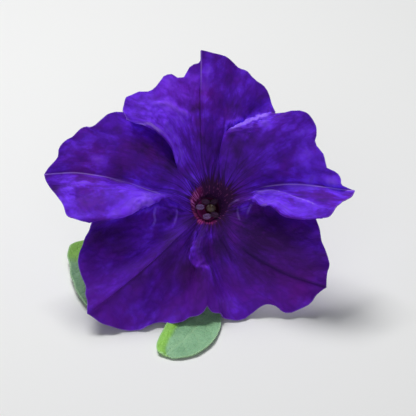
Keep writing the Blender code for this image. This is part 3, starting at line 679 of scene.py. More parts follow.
def add_rod(name, line, radii, sides=20, knobble=0.0, seed=0.0):
    """A round closed rod along a line, with a radius at each point, and the field its material reads."""
    line = np.asarray(line, float)
    side, up = frames_along(line)
    turn = np.linspace(0, math.tau, sides + 1)
    turn[-1] = 0.0
    ring = side[:, None] * np.cos(turn)[:, None] + up[:, None] * np.sin(turn)[:, None]
    points = line[:, None] + ring * np.asarray(radii, float)[:, None, None]
    if knobble:
        points += ring * (knobble * noise_of(points, 1.2, seed))[..., None]
    field = np.stack(np.broadcast_arrays(np.cos(turn), np.sin(turn), length_along(line)[:, None]), axis=2)
    rod, row, column = add_sheet(name, points)
    paint(rod, "along_field", field[row, column])
    merge_seam(rod, close_ends=True)
    return rod


def add_hairs(name, roots, directions, length, radius, seed):
    """Fine tapering hairs, one at each root, all copied from one cone primitive."""
    deselect()
    bpy.ops.mesh.primitive_cone_add(vertices=3, radius1=1.0, radius2=0.0, depth=1.0, location=(0, 0, 0.5))
    cone = bpy.context.active_object
    bpy.ops.object.transform_apply(location=True)
    bpy.ops.object.mode_set(mode="EDIT")
    bpy.ops.mesh.select_all(action="SELECT")
    bpy.ops.mesh.quads_convert_to_tris()
    bpy.ops.object.mode_set(mode="OBJECT")
    shape = np.array([vertex.co[:] for vertex in cone.data.vertices])
    faces = [tuple(face.vertices) for face in cone.data.polygons]
    bpy.data.objects.remove(cone, do_unlink=True)
    chance = np.random.default_rng(seed)
    lean = unit(unit(directions) + 0.35 * chance.normal(size=directions.shape))
    side = unit(np.cross(lean, (0.31, 0.52, 0.8)))
    up = np.cross(lean, side)
    lengths = length * chance.uniform(0.6, 1.2, len(roots))
    across = shape[:, 0, None] * side[:, None] + shape[:, 1, None] * up[:, None]
    points = roots[:, None] + radius * across + (shape[:, 2, None] * lean[:, None]) * lengths[:, None, None]
    points[..., 2] = np.maximum(points[..., 2], 0.02)
    all_faces = [tuple(v + k * len(shape) for v in face) for k in range(len(roots)) for face in faces]
    mesh = bpy.data.meshes.new(name)
    mesh.from_pydata((points.reshape(-1, 3) * MM).tolist(), [], all_faces)
    hairs = bpy.data.objects.new(name, mesh)
    bpy.context.scene.collection.objects.link(hairs)
    return hairs


def scatter_on(piece, count, seed, keep=None):
    """Random places on a piece in millimetres and its normals there, spread evenly over its faces."""
    mesh = piece.data
    mesh.calc_loop_triangles()
    corners = np.empty(len(mesh.loop_triangles) * 3, int)
    mesh.loop_triangles.foreach_get("vertices", corners)
    triangles = coordinates(piece)[corners.reshape(-1, 3)] / MM
    normals = np.cross(triangles[:, 1] - triangles[:, 0], triangles[:, 2] - triangles[:, 0])
    areas = np.linalg.norm(normals, axis=1)
    if keep is not None:
        areas = areas * keep(triangles.mean(axis=1), unit(normals))
    chance = np.random.default_rng(seed)
    chosen = chance.choice(len(areas), count, p=areas / areas.sum())
    a, b = chance.uniform(size=(2, count, 1))
    flip = a + b > 1
    a, b = np.where(flip, 1 - a, a), np.where(flip, 1 - b, b)
    first, second, third = (triangles[chosen, k] for k in range(3))
    return first + a * (second - first) + b * (third - first), unit(normals[chosen])


def finish_piece(piece, materials, nodes, angle=math.radians(70)):
    """Smooths a piece, gives it its materials and says what it stands for."""
    make_active(piece)
    bpy.ops.object.shade_smooth_by_angle(angle=angle)
    for material in materials:
        piece.data.materials.append(material)
    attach(piece, "root")
    if nodes:
        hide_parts(*nodes)
    deselect()
    return piece


# Materials


class Nodes:
    """A node tree, with short names for the nodes that the looks are made of."""

    def __init__(self, tree):
        self.tree = tree

    def feed(self, socket, value):
        """Gives a socket its value, or links it to the socket that feeds it."""
        if isinstance(value, bpy.types.NodeSocket):
            self.tree.links.new(value, socket)
        else:
            socket.default_value = value

    def node(self, kind, inputs=None, **settings):
        """A node with its settings, whose inputs are values or the sockets that feed them."""
        made = self.tree.nodes.new("ShaderNode" + kind)
        for name, value in settings.items():
            setattr(made, name, value)
        for name, value in (inputs or {}).items():
            self.feed(made.inputs[name], value)
        return made

    def mix(self, factor, first, second, kind="MIX"):
        """The first colour turning into the second one as the factor rises."""
        made = self.node("Mix", data_type="RGBA", blend_type=kind)
        sockets = {socket.identifier: socket for socket in (*made.inputs, *made.outputs)}
        self.feed(sockets["Factor_Float"], factor)
        for name, colour in (("A_Color", first), ("B_Color", second)):
            self.feed(sockets[name], colour if isinstance(colour, bpy.types.NodeSocket) else rgba(colour))
        return sockets["Result_Color"]

    def step(self, value, start, end, low=0.0, high=1.0):
        """A value's place between start and end, as a smooth step from low to high."""
        inputs = {"Value": value, "From Min": start, "From Max": end, "To Min": low, "To Max": high}
        return self.node("MapRange", inputs, interpolation_type="SMOOTHSTEP").outputs["Result"]

    def maths(self, operation, first, second=0.5):
        return self.node("Math", {0: first, 1: second}, operation=operation).outputs[0]

    def times(self, first, second):
        return self.maths("MULTIPLY", first, second)

    def plus(self, first, second):
        return self.maths("ADD", first, second)

    def centred(self, value):
        return self.maths("SUBTRACT", value, 0.5)

    def size(self, value):
        return self.maths("ABSOLUTE", value)

    def vector(self, operation, first, second):
        return self.node("VectorMath", {0: first, 1: second}, operation=operation).outputs

    def drawn_out(self, vector, share):
        """Places whose last number counts for less, so that what is drawn on them is longer."""
        return self.vector("MULTIPLY", vector, (1.0, 1.0, share))[0]

    def clouds(self, vector, scale, detail, roughness=0.5, distortion=0.0):
        """Soft noise from 0 to 1."""
        inputs = {"Vector": vector, "Scale": scale, "Detail": detail, "Roughness": roughness}
        return self.node("TexNoise", {**inputs, "Distortion": distortion}).outputs["Fac"]

    def attribute(self, name):
        """The three numbers that a mesh carries under this name."""
        return self.node("Attribute", attribute_name=name).outputs["Vector"]

    def split(self, vector):
        return self.node("SeparateXYZ", {0: vector}).outputs

    def place(self):
        return self.node("TexCoord").outputs["Object"]

    def ramp(self, value, stops):
        """A colour that runs through the stops, each a place from 0 to 1 and a colour."""
        made = self.node("ValToRGB", {"Fac": value})
        elements = made.color_ramp.elements
        while len(elements) < len(stops):
            elements.new(0.5)
        for element, (place, colour) in zip(elements, stops):
            element.position, element.color = place, rgba(colour)
        return made.outputs["Color"]

    def tissue(self, blotch, cell, share=0.35):
        """Soft blotches and fine cells: their shade from 0 to 1, and their height."""
        inputs = {"Vector": self.place(), "Blotch Scale": blotch, "Cell Scale": cell, "Cell Share": share}
        return self.node("Group", inputs, node_tree=tissue_group()).outputs

    def veins(self, vector, stretch, scale, width, wander=0.3):
        """A net of veins, drawn out by the share that the vector's last number counts for."""
        inputs = {"Vector": vector, "Stretch": (1.0, 1.0, stretch), "Scale": scale, "Width": width}
        return self.node("Group", {**inputs, "Wander": wander}, node_tree=vein_group()).outputs["Mask"]


class Look(Nodes):
    """A new material, with constants set on its shader's own sockets."""

    def __init__(self, name, **constants):
        self.material = bpy.data.materials.new(name)
        self.material.use_nodes = True
        super().__init__(self.material.node_tree)
        self.shader = self.tree.nodes["Principled BSDF"]
        for label, value in constants.items():
            self.shader.inputs[label.replace("_", " ")].default_value = value

    def finish(self, colour, height=None, strength=0.0, distance=0.0):
        """Gives the shader its colour and, where there is a height, a bump of it."""
        self.feed(self.shader.inputs["Base Color"], colour)
        if height is not None:
            bump = self.node("Bump", {"Height": height, "Strength": strength, "Distance": distance})
            self.feed(self.shader.inputs["Normal"], bump.outputs["Normal"])
        return self.material


def rgba(colour):
    return (*colour, 1.0)


def new_group(name, inputs, outputs):
    """A node group, its nodes, and its inputs and outputs; vector inputs have None or three numbers."""
    group = bpy.data.node_groups.new(name, "ShaderNodeTree")
    for label, default in inputs.items():
        kind = "NodeSocketFloat" if isinstance(default, float) else "NodeSocketVector"
        socket = group.interface.new_socket(name=label, in_out="INPUT", socket_type=kind)
        if default is not None:
            socket.default_value = default
    for label in outputs:
        group.interface.new_socket(name=label, in_out="OUTPUT", socket_type="NodeSocketFloat")
    given, result = group.nodes.new("NodeGroupInput").outputs, group.nodes.new("NodeGroupOutput").inputs
    return Nodes(group), given, result


def tissue_group():
    """The shared group of blotches and cells."""
    if "plant_tissue" in bpy.data.node_groups:
        return bpy.data.node_groups["plant_tissue"]
    inputs = {"Vector": None, "Blotch Scale": 250.0, "Cell Scale": 2500.0, "Cell Share": 0.35}
    nodes, given, result = new_group("plant_tissue", inputs, ("Shade", "Height"))
    blotch = nodes.clouds(given["Vector"], given["Blotch Scale"], 4.0, 0.55)
    cell = nodes.clouds(given["Vector"], given["Cell Scale"], 2.0, 0.6)
    mixed = nodes.node("Mix", {"Factor": given["Cell Share"], "A": blotch, "B": cell}, data_type="FLOAT")
    nodes.feed(result["Shade"], mixed.outputs["Result"])
    nodes.feed(result["Height"], cell)
    return nodes.tree


def vein_group():
    """The shared group of veins, as a mask that is 1 on a vein."""
    if "vein_net" in bpy.data.node_groups:
        return bpy.data.node_groups["vein_net"]
    inputs = {"Vector": None, "Stretch": (1.0, 1.0, 0.2), "Scale": 1.0, "Width": 0.08, "Wander": 0.3}
    nodes, given, result = new_group("vein_net", inputs, ("Mask",))
    drawn = nodes.vector("MULTIPLY", given["Vector"], given["Stretch"])[0]
    drift = nodes.node("TexNoise", {"Vector": drawn, "Scale": given["Scale"], "Detail": 2.0})
    shift = nodes.vector("SUBTRACT", drift.outputs["Color"], (0.5, 0.5, 0.5))[0]
    shift = nodes.node("VectorMath", {0: shift, "Scale": given["Wander"]}, operation="SCALE").outputs[0]
    place = nodes.vector("ADD", drawn, shift)[0]
    cells = nodes.node("TexVoronoi", {"Vector": place, "Scale": given["Scale"]}, feature="DISTANCE_TO_EDGE")
    nodes.feed(result["Mask"], nodes.step(cells.outputs["Distance"], 0.0, given["Width"], 1.0, 0.0))
    return nodes.tree


def petal_material(settings, back=False):
    """Velvety petal: veins from the throat, a maroon throat with crimson streaks and a pale rim, with
    painted highlight and shadow lines on midribs and folds, painted shade and highlights, and a painted
    glow in the tube.
    """
    look = Look(
        "petal_back" if back else "petal_face",
        Roughness=0.66,
        Sheen_Weight=0.08,
        Sheen_Roughness=0.4,
        Sheen_Tint=(0.4, 0.25, 1.0, 1.0),
        Specular_IOR_Level=0.12,
        Emission_Strength=0.0 if back else 1.0,
    )
    times, plus, step, mix, centred = look.times, look.plus, look.step, look.mix, look.centred
    field = look.attribute("petal_field")
    up, reach = look.split(field)[1:]
    to_rim, side, line_kind = look.split(look.attribute("petal_edges"))
    shading_and_tone, throat, crimson = look.split(look.attribute("petal_shading_and_tone"))
    shade, cell_height = look.tissue(200.0, 1100.0, 0.45)
    net = look.veins(field, 0.04, 1.7, step(reach, 0.0, 14.0, 0.2, 0.06), 0.25)
    grain = look.veins(field, 0.12, 2.6, 0.3, 0.4)

    # the violet, darker under painted shade and brighter under painted highlights, up to a pale painted
    # sheen, with blotches and fine cells
    drawn = look.drawn_out(field, 0.09)
    mottle = plus(times(centred(shade), 0.6), times(centred(look.clouds(drawn, 1.1, 4.0, 0.6)), 1.1))
    streaky = centred(look.clouds(drawn, 2.2, 2.0, 0.6, 0.3))
    mottle = plus(mottle, times(streaky, step(reach, 5.0, 16.0, 0.2, 0.6)))
    mottle = times(mottle, step(shading_and_tone, 0.15, 0.6, 1.0, 0.45))
    level = plus(plus(shading_and_tone, settings.petal_level), mottle)
    stops = (
        (0.0, settings.petal_dark),
        (0.245, settings.petal_deep),
        (0.49, settings.petal_mid),
        (0.7, settings.petal_bright),
        (1.0, settings.petal_pale),
    )
    colour = look.ramp(times(level, 0.7), stops)

    # redder purple low down by the surface and in specks where the violet is deep, partly the petals' own
    # hue and partly a redder cast painted into shade, and where the petals say so
    place = look.place()
    hues = look.clouds(place, 90.0, 5.0, 0.7)
    low = times(step(look.split(place)[2], 0.026, 0.004), step(reach, 6.0, 20.0, 0.0, 0.7))
    low = times(low, step(hues, 0.36, 0.62, 0.45, 1.25))
    specks = times(step(hues, 0.46, 0.64, 0.0, 0.55), step(level, 1.05, 0.75))
    colour = mix(look.maths("MAXIMUM", low, specks), colour, settings.petal_blush_and_shade)
    redden = look.split(look.attribute("petal_hue"))[0]
    colour = mix(redden, colour, settings.petal_redden, "MULTIPLY")
    if back:
        colour = mix(0.4, colour, settings.petal_back)
        colour = mix(step(reach, -4.0, -26.0), colour, settings.tube_foot)
        colour = mix(times(net, step(reach, 30.0, -10.0, 0.1, 0.55)), colour, settings.vein)
        colour = mix(step(to_rim, 0.25, 0.1, 0.0, 0.3), colour, settings.rim)
        return look.finish(colour, plus(cell_height, net), 0.6, 0.00012)

    # a painted glow, standing in for light that comes through the tube's thin wall, strongest on its lit
    # side
    lit_side = look.vector("DOT_PRODUCT", field, (-0.115, -0.085, 0.0))["Value"]
    painted_glow = times(step(reach, -4.5, -9.0), step(reach, -26.0, -14.0, 0.35, 1.0))
    painted_glow = times(painted_glow, step(lit_side, -0.5, 0.7, 0.15, 1.0))
    look.feed(look.shader.inputs["Emission Color"], mix(painted_glow, (0.0, 0.0, 0.0), settings.tube_glow))

    # fine grain, and dark veins that fade away from the throat
    colour = mix(times(grain, 0.2), colour, settings.vein)
    near = plus(step(reach, 3.0, 13.0, 0.62, 0.12), step(reach, 12.0, 30.0, 0.1, -0.06))
    vein = times(net, times(near, step(up, -3.0, 3.0, 0.6, 1.0)))
    colour = mix(vein, colour, settings.vein)

    # midribs and folds: a pale line painted as a highlight on an edge, or a dark one painted as shadow in a
    # crease
    away = look.size(side)
    pale = times(step(away, 0.24, 0.05), step(line_kind, 0.4, 1.0, 0.0, 0.55))
    dark = times(step(away, 0.9, 0.1), step(line_kind, 0.0, -1.0, 0.0, 0.7))
    colour = mix(dark, mix(pale, colour, settings.midrib), settings.vein)

    # the throat, whose maroon runs out along the veins and turns lighter down the tube, painted light that
    # is strongest on its lit side, with its pink flecks, partly painted glints, shown most on that side
    star = plus(plus(throat, times(net, 1.5)), times(shade, 0.8))
    painted_light_down_tube = times(step(reach, -5.0, -13.0), step(lit_side, -0.5, 0.7, 0.3, 1.0))
    colour = mix(step(star, -0.5, 1.9), colour, mix(painted_light_down_tube, settings.throat, settings.tube_wall))
    flecks = look.node("TexVoronoi", {"Vector": look.drawn_out(field, 0.5), "Scale": 1.3})
    shown = times(step(throat, 0.0, 0.8), step(reach, -8.0, -4.0))
    dots = times(step(flecks.outputs["Distance"], 0.36, 0.16, 0.0, 0.85), shown)
    colour = mix(times(dots, step(lit_side, -0.7, 0.4, 0.3, 1.0)), colour, settings.fleck)

    # its crimson side, with paler streaks
    streaks = look.clouds(look.drawn_out(field, 0.08), 3.0, 1.0)
    warm = times(crimson, step(throat, -0.6, 0.6))
    colour = mix(times(warm, 0.65), colour, settings.throat_warm)
    pinks = mix(step(up, -5.0, 0.0), settings.streak, settings.streak_lilac)
    colour = mix(times(step(streaks, 0.54, 0.61), warm), colour, pinks)

    colour = mix(step(to_rim, 0.28, 0.1, 0.0, 0.4), colour, settings.rim)
    relief = plus(times(grain, -0.5), times(cell_height, 0.7))
    return look.finish(colour, plus(relief, times(vein, -1.0)), 0.7, 0.00014)


def green_material(name, dark, light, blotch, cell, hairy=0.25, roughness=0.55, tint=None):
    """Soft green tissue with a bloom of fine hairs, for stalks and sepals."""
    look = Look(
        name,
        Roughness=roughness,
        Sheen_Weight=hairy,
        Sheen_Roughness=0.5,
        Sheen_Tint=(0.85, 1.0, 0.75, 1.0),
        Specular_IOR_Level=0.35,
    )
    shade, cell_height = look.tissue(blotch, cell)
    field = look.attribute("along_field")
    strands = look.veins(field, 0.08, 1.6, 0.2)
    colour = look.mix(look.step(shade, 0.3, 0.7), dark, light)
    colour = look.mix(look.times(strands, 0.35), colour, light)
    if tint:
        colour = look.mix(look.step(look.split(field)[2], *tint[1:]), colour, tint[0])
    return look.finish(colour, look.plus(cell_height, look.times(strands, 0.8)), 0.7, 0.00012)


def leaf_material(settings, shade):
    """Matte leaf with paler veins and margin, and finely quilted tissue."""
    name = "leaf_blade_pale" if shade == 1 else "leaf_blade"
    if name in bpy.data.materials:
        return bpy.data.materials[name]
    deep, bright, vein_green, margin_green = (
        tuple(channel * shade for channel in colour)
        for colour in (settings.leaf_deep, settings.leaf_bright, settings.leaf_vein, settings.leaf_margin)
    )
    look = Look(
        name,
        Roughness=0.58,
        Sheen_Weight=0.3,
        Sheen_Roughness=0.45,
        Sheen_Tint=(0.8, 1.0, 0.85, 1.0),
        Specular_IOR_Level=0.35,
    )
    times, step, mix = look.times, look.step, look.mix
    to_margin, vein, curl = look.split(look.attribute("leaf_field"))
    blotches, cell_height = look.tissue(160.0, 1400.0)
    net = look.veins(look.place(), 1.0, 620.0, 0.16, 0.001)
    colour = mix(step(blotches, 0.3, 0.7), deep, bright)
    colour = mix(times(net, 0.12), colour, vein_green)
    colour = mix(times(vein, 0.28), colour, vein_green)
    colour = mix(step(curl, 0.1, 0.9, 0.0, 0.9), colour, margin_green)
    colour = mix(step(to_margin, 0.55, 0.15, 0.0, 0.5), colour, settings.leaf_vein)
    return look.finish(colour, look.maths("SUBTRACT", cell_height, times(net, 1.2)), 0.6, 0.00015)


def pollen_material(settings):
    """Grey lilac anthers with a darker seam and a dust of pollen, and painted shade on those that lie
    deeper in the throat.
    """
    look = Look("anther_skin", Roughness=0.75, Sheen_Weight=0.15, Specular_IOR_Level=0.3)
    step, mix = look.step, look.mix
    shade_depth, y, z = look.split(look.attribute("sac_field"))
    shade, cell_height = look.tissue(700.0, 4000.0)
    pale = [min(1.0, channel * 1.6) for channel in settings.anther_skin]
    colour = mix(step(shade, 0.35, 0.65), settings.anther_skin, pale)
    colour = mix(step(look.size(y), 0.3, 0.05, 0.0, 0.5), colour, (0.1, 0.04, 0.12))
    colour = mix(step(z, 0.4, -0.5, 0.0, 0.7), colour, (0.16, 0.03, 0.12))
    # painted shade on the anthers that lie deeper in the throat
    colour = mix(step(shade_depth, 0.1, 1.0, 0.0, 0.85), colour, (0.05, 0.008, 0.045))
    return look.finish(colour, cell_height, 0.9, 0.00008)


def stigma_material(settings):
    """Moist olive knob, darker in its cleft and at its rim."""
    look = Look("stigma_skin", Roughness=0.35, Specular_IOR_Level=0.5, Coat_Weight=0.15)
    step, mix = look.step, look.mix
    x, _, z = look.split(look.attribute("sac_field"))
    shade, cell_height = look.tissue(900.0, 6000.0)
    pale = [channel * 1.5 for channel in settings.stigma_skin]
    colour = mix(step(shade, 0.35, 0.65), settings.stigma_skin, pale)
    colour = mix(step(look.size(x), 0.25, 0.05, 0.0, 0.6), colour, (0.09, 0.05, 0.02))
    colour = mix(step(z, 0.35, -0.1, 0.0, 0.7), colour, (0.14, 0.08, 0.07))
    return look.finish(colour, cell_height, 0.9, 0.0001)


def hair_material():
    """Pale hairs, whiter in places."""
    look = Look("fine_hair", Roughness=0.5, Specular_IOR_Level=0.4)
    shade = look.tissue(600.0, 3000.0)["Shade"]
    return look.finish(look.mix(look.step(shade, 0.35, 0.65), (0.46, 0.56, 0.34), (0.72, 0.76, 0.62)))


# The corolla


def rib_line(throat_deg, limb_points):
    """One rib from the foot of the tube to the rim."""
    out = out_from_axis(math.radians(throat_deg))
    tube = [np.array(middle) + radius * out for radius, *middle in (TUBE_FOOT, *TUBE_PROFILE)]
    low = smooth_line(tube, TUBE_ROWS)
    limb = smooth_line([tube[-1], *limb_points], LIMB_ROWS + 1)
    return np.concatenate([low, limb[1:]])


def column_places(ribs):
    """Where the corolla's columns stand, as a rib's number and a share of the way to the next one."""
    middle = ribs[:, -LIMB_ROWS // 3]
    widths = np.linalg.norm(np.roll(middle, -1, axis=0) - middle, axis=1)
    counts = np.maximum(8, np.rint(widths / widths.sum() * PETAL_COLUMNS)).astype(int)
    places = []
    for number, count in enumerate(counts):
        shares = np.arange(count) / count
        if RIBS[number][0] in MIDRIBS:
            shares = shares**MIDRIB_CROWDING
        elif RIBS[(number + 1) % len(RIBS)][0] in MIDRIBS:
            shares = 1 - (1 - shares) ** MIDRIB_CROWDING
        places += [(number, share) for share in shares]
    return places


def rim_outline(places, rim):
    """The scalloped rim's (p, q) at each column."""
    outline = rim[:, :2].copy()
    for number, rib in enumerate(RIBS):
        next_rib = RIBS[(number + 1) % len(RIBS)]
        line = np.array([rib[-1][:2], *SCALLOPS.get(rib[0], ()), next_rib[-1][:2]], float)
        if len(line) > 2:
            columns = [column for column, place in enumerate(places) if place[0] == number]
            outline[columns] = smooth_line(line, 0, [places[column][1] for column in columns])
    return outline


def between_ribs(number, start, end, soft):
    """1 from one rib to another and 0 beyond, where a column's number is the rib that it is on or past."""
    count = len(RIBS)
    low, high = sorted((RIB_NUMBER[start], RIB_NUMBER[end]))
    if high - low > count // 2:
        low, high = high, low + count
    middle, half = (low + high) / 2, (high - low) / 2
    away = np.abs((number - middle + count / 2) % count - count / 2)
    return smooth_step(away, half + soft, half - 0.1)


def corolla_grid():
    """The smooth corolla: its points, each row's share of the way out and each column's place."""
    ribs = np.array([rib_line(throat_deg, points) for name, throat_deg, *points in RIBS])
    places = column_places(ribs)
    grid = []
    for number, share in places:
        neighbours = [ribs[(number + k) % len(RIBS)] for k in (-1, 0, 1, 2)]
        grid.append(spline(*neighbours, share))
    grid = np.stack(grid, axis=1)
    limb = np.clip((np.arange(len(grid)) - TUBE_ROWS + 1) / LIMB_ROWS, 0, 1)[:, None]
    shift = rim_outline(places, grid[-1]) - grid[-1][:, :2]
    grid[..., :2] += shift * smooth_step(limb, 0.6, 1.0)[..., None]
    return grid, limb, places


def beside_rib(around, places, name):
    """The distance round each ring from a rib, below 0 before it."""
    first = next(column for column, place in enumerate(places) if place[0] == RIB_NUMBER[name])
    return around - around[:, first][:, None]


def corolla_surface(settings):
    """The corolla's middle surface in millimetres, with the fields that its material reads."""
    grid, limb, places = corolla_grid()
    flat = grid[..., :2]
    rows, columns = grid.shape[:2]

    # distances along the ribs and round the rings
    steps = np.linalg.norm(np.diff(grid, axis=0), axis=2)
    reach = np.concatenate([np.zeros((1, columns)), np.cumsum(steps, axis=0)])
    to_rim = reach[-1] - reach
    reach = reach - reach[TUBE_ROWS - 1]
    ring = np.linalg.norm(np.roll(grid, -1, axis=1) - grid, axis=2)
    around = np.cumsum(ring, axis=1) - ring
    total = ring.sum(axis=1, keepdims=True)

    closed = np.concatenate([grid[:, -1:], grid, grid[:, :1]], axis=1)
    normal = surface_normals(closed)[:, 1:-1]
    if np.mean(normal[-LIMB_ROWS // 2 :, :, 2]) < 0:
        normal = -normal
    number = np.array([n + s for n, s in places])
    turns = [*(rib[1] for rib in RIBS), RIBS[0][1] - 360]
    turn = np.radians(np.interp(number, range(len(turns)), turns))
    field = np.stack(
        np.broadcast_arrays(FIELD_RADIUS * np.cos(turn), FIELD_RADIUS * np.sin(turn), reach), axis=2
    )

    # midribs, with their painted highlight lines and painted shadow lines
    rise, kind, crease_shadow, crest_shading = np.zeros((4, rows, columns))
    to_midrib = np.full((rows, columns), 99.0)
    for name, (height, width, before, after, line, dark_side, whole) in MIDRIBS.items():
        side = beside_rib(around, places, name)
        side = (side + total / 2) % total - total / 2
        away = np.abs(side)
        strength = smooth_step(limb, 0.08, 0.35) * (1 - 0.4 * smooth_step(limb, 0.85, 1.0))
        drop = np.where(side < 0, before, after) * (1 - np.exp(-away / 0.25)) * np.exp(-away / 1.6)
        rise += strength * settings.midrib_height / MIDRIB_HEIGHT * (height * np.exp(-away / width) - drop)
        nearer = away < np.abs(to_midrib)
        kind = np.where(nearer, line * smooth_step(limb, 0.3 * whole, whole), kind)
        to_midrib = np.where(nearer, side, to_midrib)
        crease_shadow += strength * abs(dark_side) * np.exp(-(((side - np.sign(dark_side) * 0.5) / 0.4) ** 2))

    # folds, their painted highlight lines and crumpled places, with painted highlights on crests and
    # painted shade in creases
    creases = 0.8 * (1 - np.abs(noise_of(grid, 2.1, 2.0))) ** CREASE_SHARPNESS
    creases += 0.8 * (1 - np.abs(noise_of(field * (1, 1, 0.2), 0.35, 9.0))) ** CREASE_SHARPNESS
    for start, end, height, width, light, crest in FOLDS:
        inside = between_ribs(number, start, end, 0.6)
        gap = distance_to_line(flat, smooth_line(crest, 24))
        ridge = np.exp(-((gap / width) ** 1.4)) * inside * (limb > 0)
        rise += height * settings.fold_height * ridge
        crest_shading += light * ridge**2
    for start, end, highlight_strength, line in HIGHLIGHT_LINES:
        beyond = HIGHLIGHT_LINE_CUT * (1 - between_ribs(number, start, end, 0.6))
        gap = distance_to_line(flat, smooth_line(line, 24)) + beyond
        from_end = np.minimum(*(np.linalg.norm(flat - tip, axis=-1) for tip in (line[0], line[-1])))
        taper = 0.6 + 0.4 * smooth_step(from_end, 0.2, 1.6)
        nearer = gap < np.minimum(np.abs(to_midrib), 0.6)
        kind = np.where(nearer, highlight_strength * taper, kind)
        to_midrib = np.where(nearer, gap * HIGHLIGHT_LINE_SHARPNESS, to_midrib)
    for *place, amount in CRUMPLES:
        zone = amount * patch(flat, *place) * smooth_step(limb, 0.03, 0.1)
        rise += settings.crumple_height * zone * creases
        crest_shading += 0.4 * zone * (creases - 0.3)

    # gentle swells, radial wrinkles and a fluttering rim
    swell = noise_of(grid, 9.0) * 0.5 + noise_of(grid, 4.5, 7.0) * 0.34 + noise_of(grid, 2.2, 5.0) * 0.13
    rise += settings.swell_height * swell * smooth_step(limb, 0.1, 0.5)
    drawn = field * (1.0, 1.0, 0.14)
    wrinkle = noise_of(drawn, 1.0) * 0.6 + noise_of(drawn, 0.5, 3.0) * 0.3
    rise += settings.wrinkle_height * wrinkle * smooth_step(reach, -1.0, 3.0)
    flutter = noise_of(grid[-1], 3.2, 11.0)
    rise += settings.ruffle_height * flutter * smooth_step(to_rim, 7.0, 0.0) ** 1.5

    # where the colour differs: painted shade and highlights, the throat's maroon, its crimson and the
    # redder patches
    shading_and_tone = -0.4 * crease_shadow + crest_shading
    # painted shade on one side of the low left midrib's ridge and a painted highlight on the other
    low_left = beside_rib(around, places, "low_left_mid")
    darker, lighter = -0.16 * np.exp(-((low_left / 4.0) ** 2)), 0.08 * np.exp(-((low_left / 3.0) ** 2))
    shading_and_tone += smooth_step(limb, 0.15, 0.4) * np.where(low_left < 0, darker, lighter)
    shading_and_tone += sum(amount * patch(flat, *place) for *place, amount in SHADE_AND_TONE_PATCHES)
    for (start, end), patches in OVERLAP_SHADING.items():
        shown = between_ribs(number, start, end, 0.2)
        shading_and_tone += shown * sum(amount * patch(flat, *place) for *place, amount in patches)
    in_tube = np.broadcast_to(np.arange(rows)[:, None] < TUBE_ROWS - 1, (rows, columns))
    throat = np.where(in_tube, 3.0, depth_inside(flat, THROAT_EDGE))
    crimson = sum(patch(flat, *place) for place in CRIMSON) * smooth_step(reach, -9.0, -4.0)
    redder = sum(amount * patch(flat, *place) for *place, amount in REDDER)
    redder = redder * (0.7 + 0.8 * noise_of(drawn, 1.6, 13.0))
    fields = {
        "petal_field": field,
        "petal_edges": np.stack([to_rim, to_midrib, kind], axis=2),
        "petal_shading_and_tone": np.stack([shading_and_tone, throat, np.minimum(crimson, 1.0)], axis=2),
        "petal_hue": np.repeat(np.clip(redder, 0.0, 1.0)[..., None], 3, axis=2),
    }
    return bend_on_floor(in_object(grid + normal * rise[..., None])), fields


def close_ring(values):
    return np.concatenate([values, values[:, :1]], axis=1)


def tint(name, description, *colour):
    return FloatVectorProperty(name=name, description=description, subtype="COLOR", default=colour)


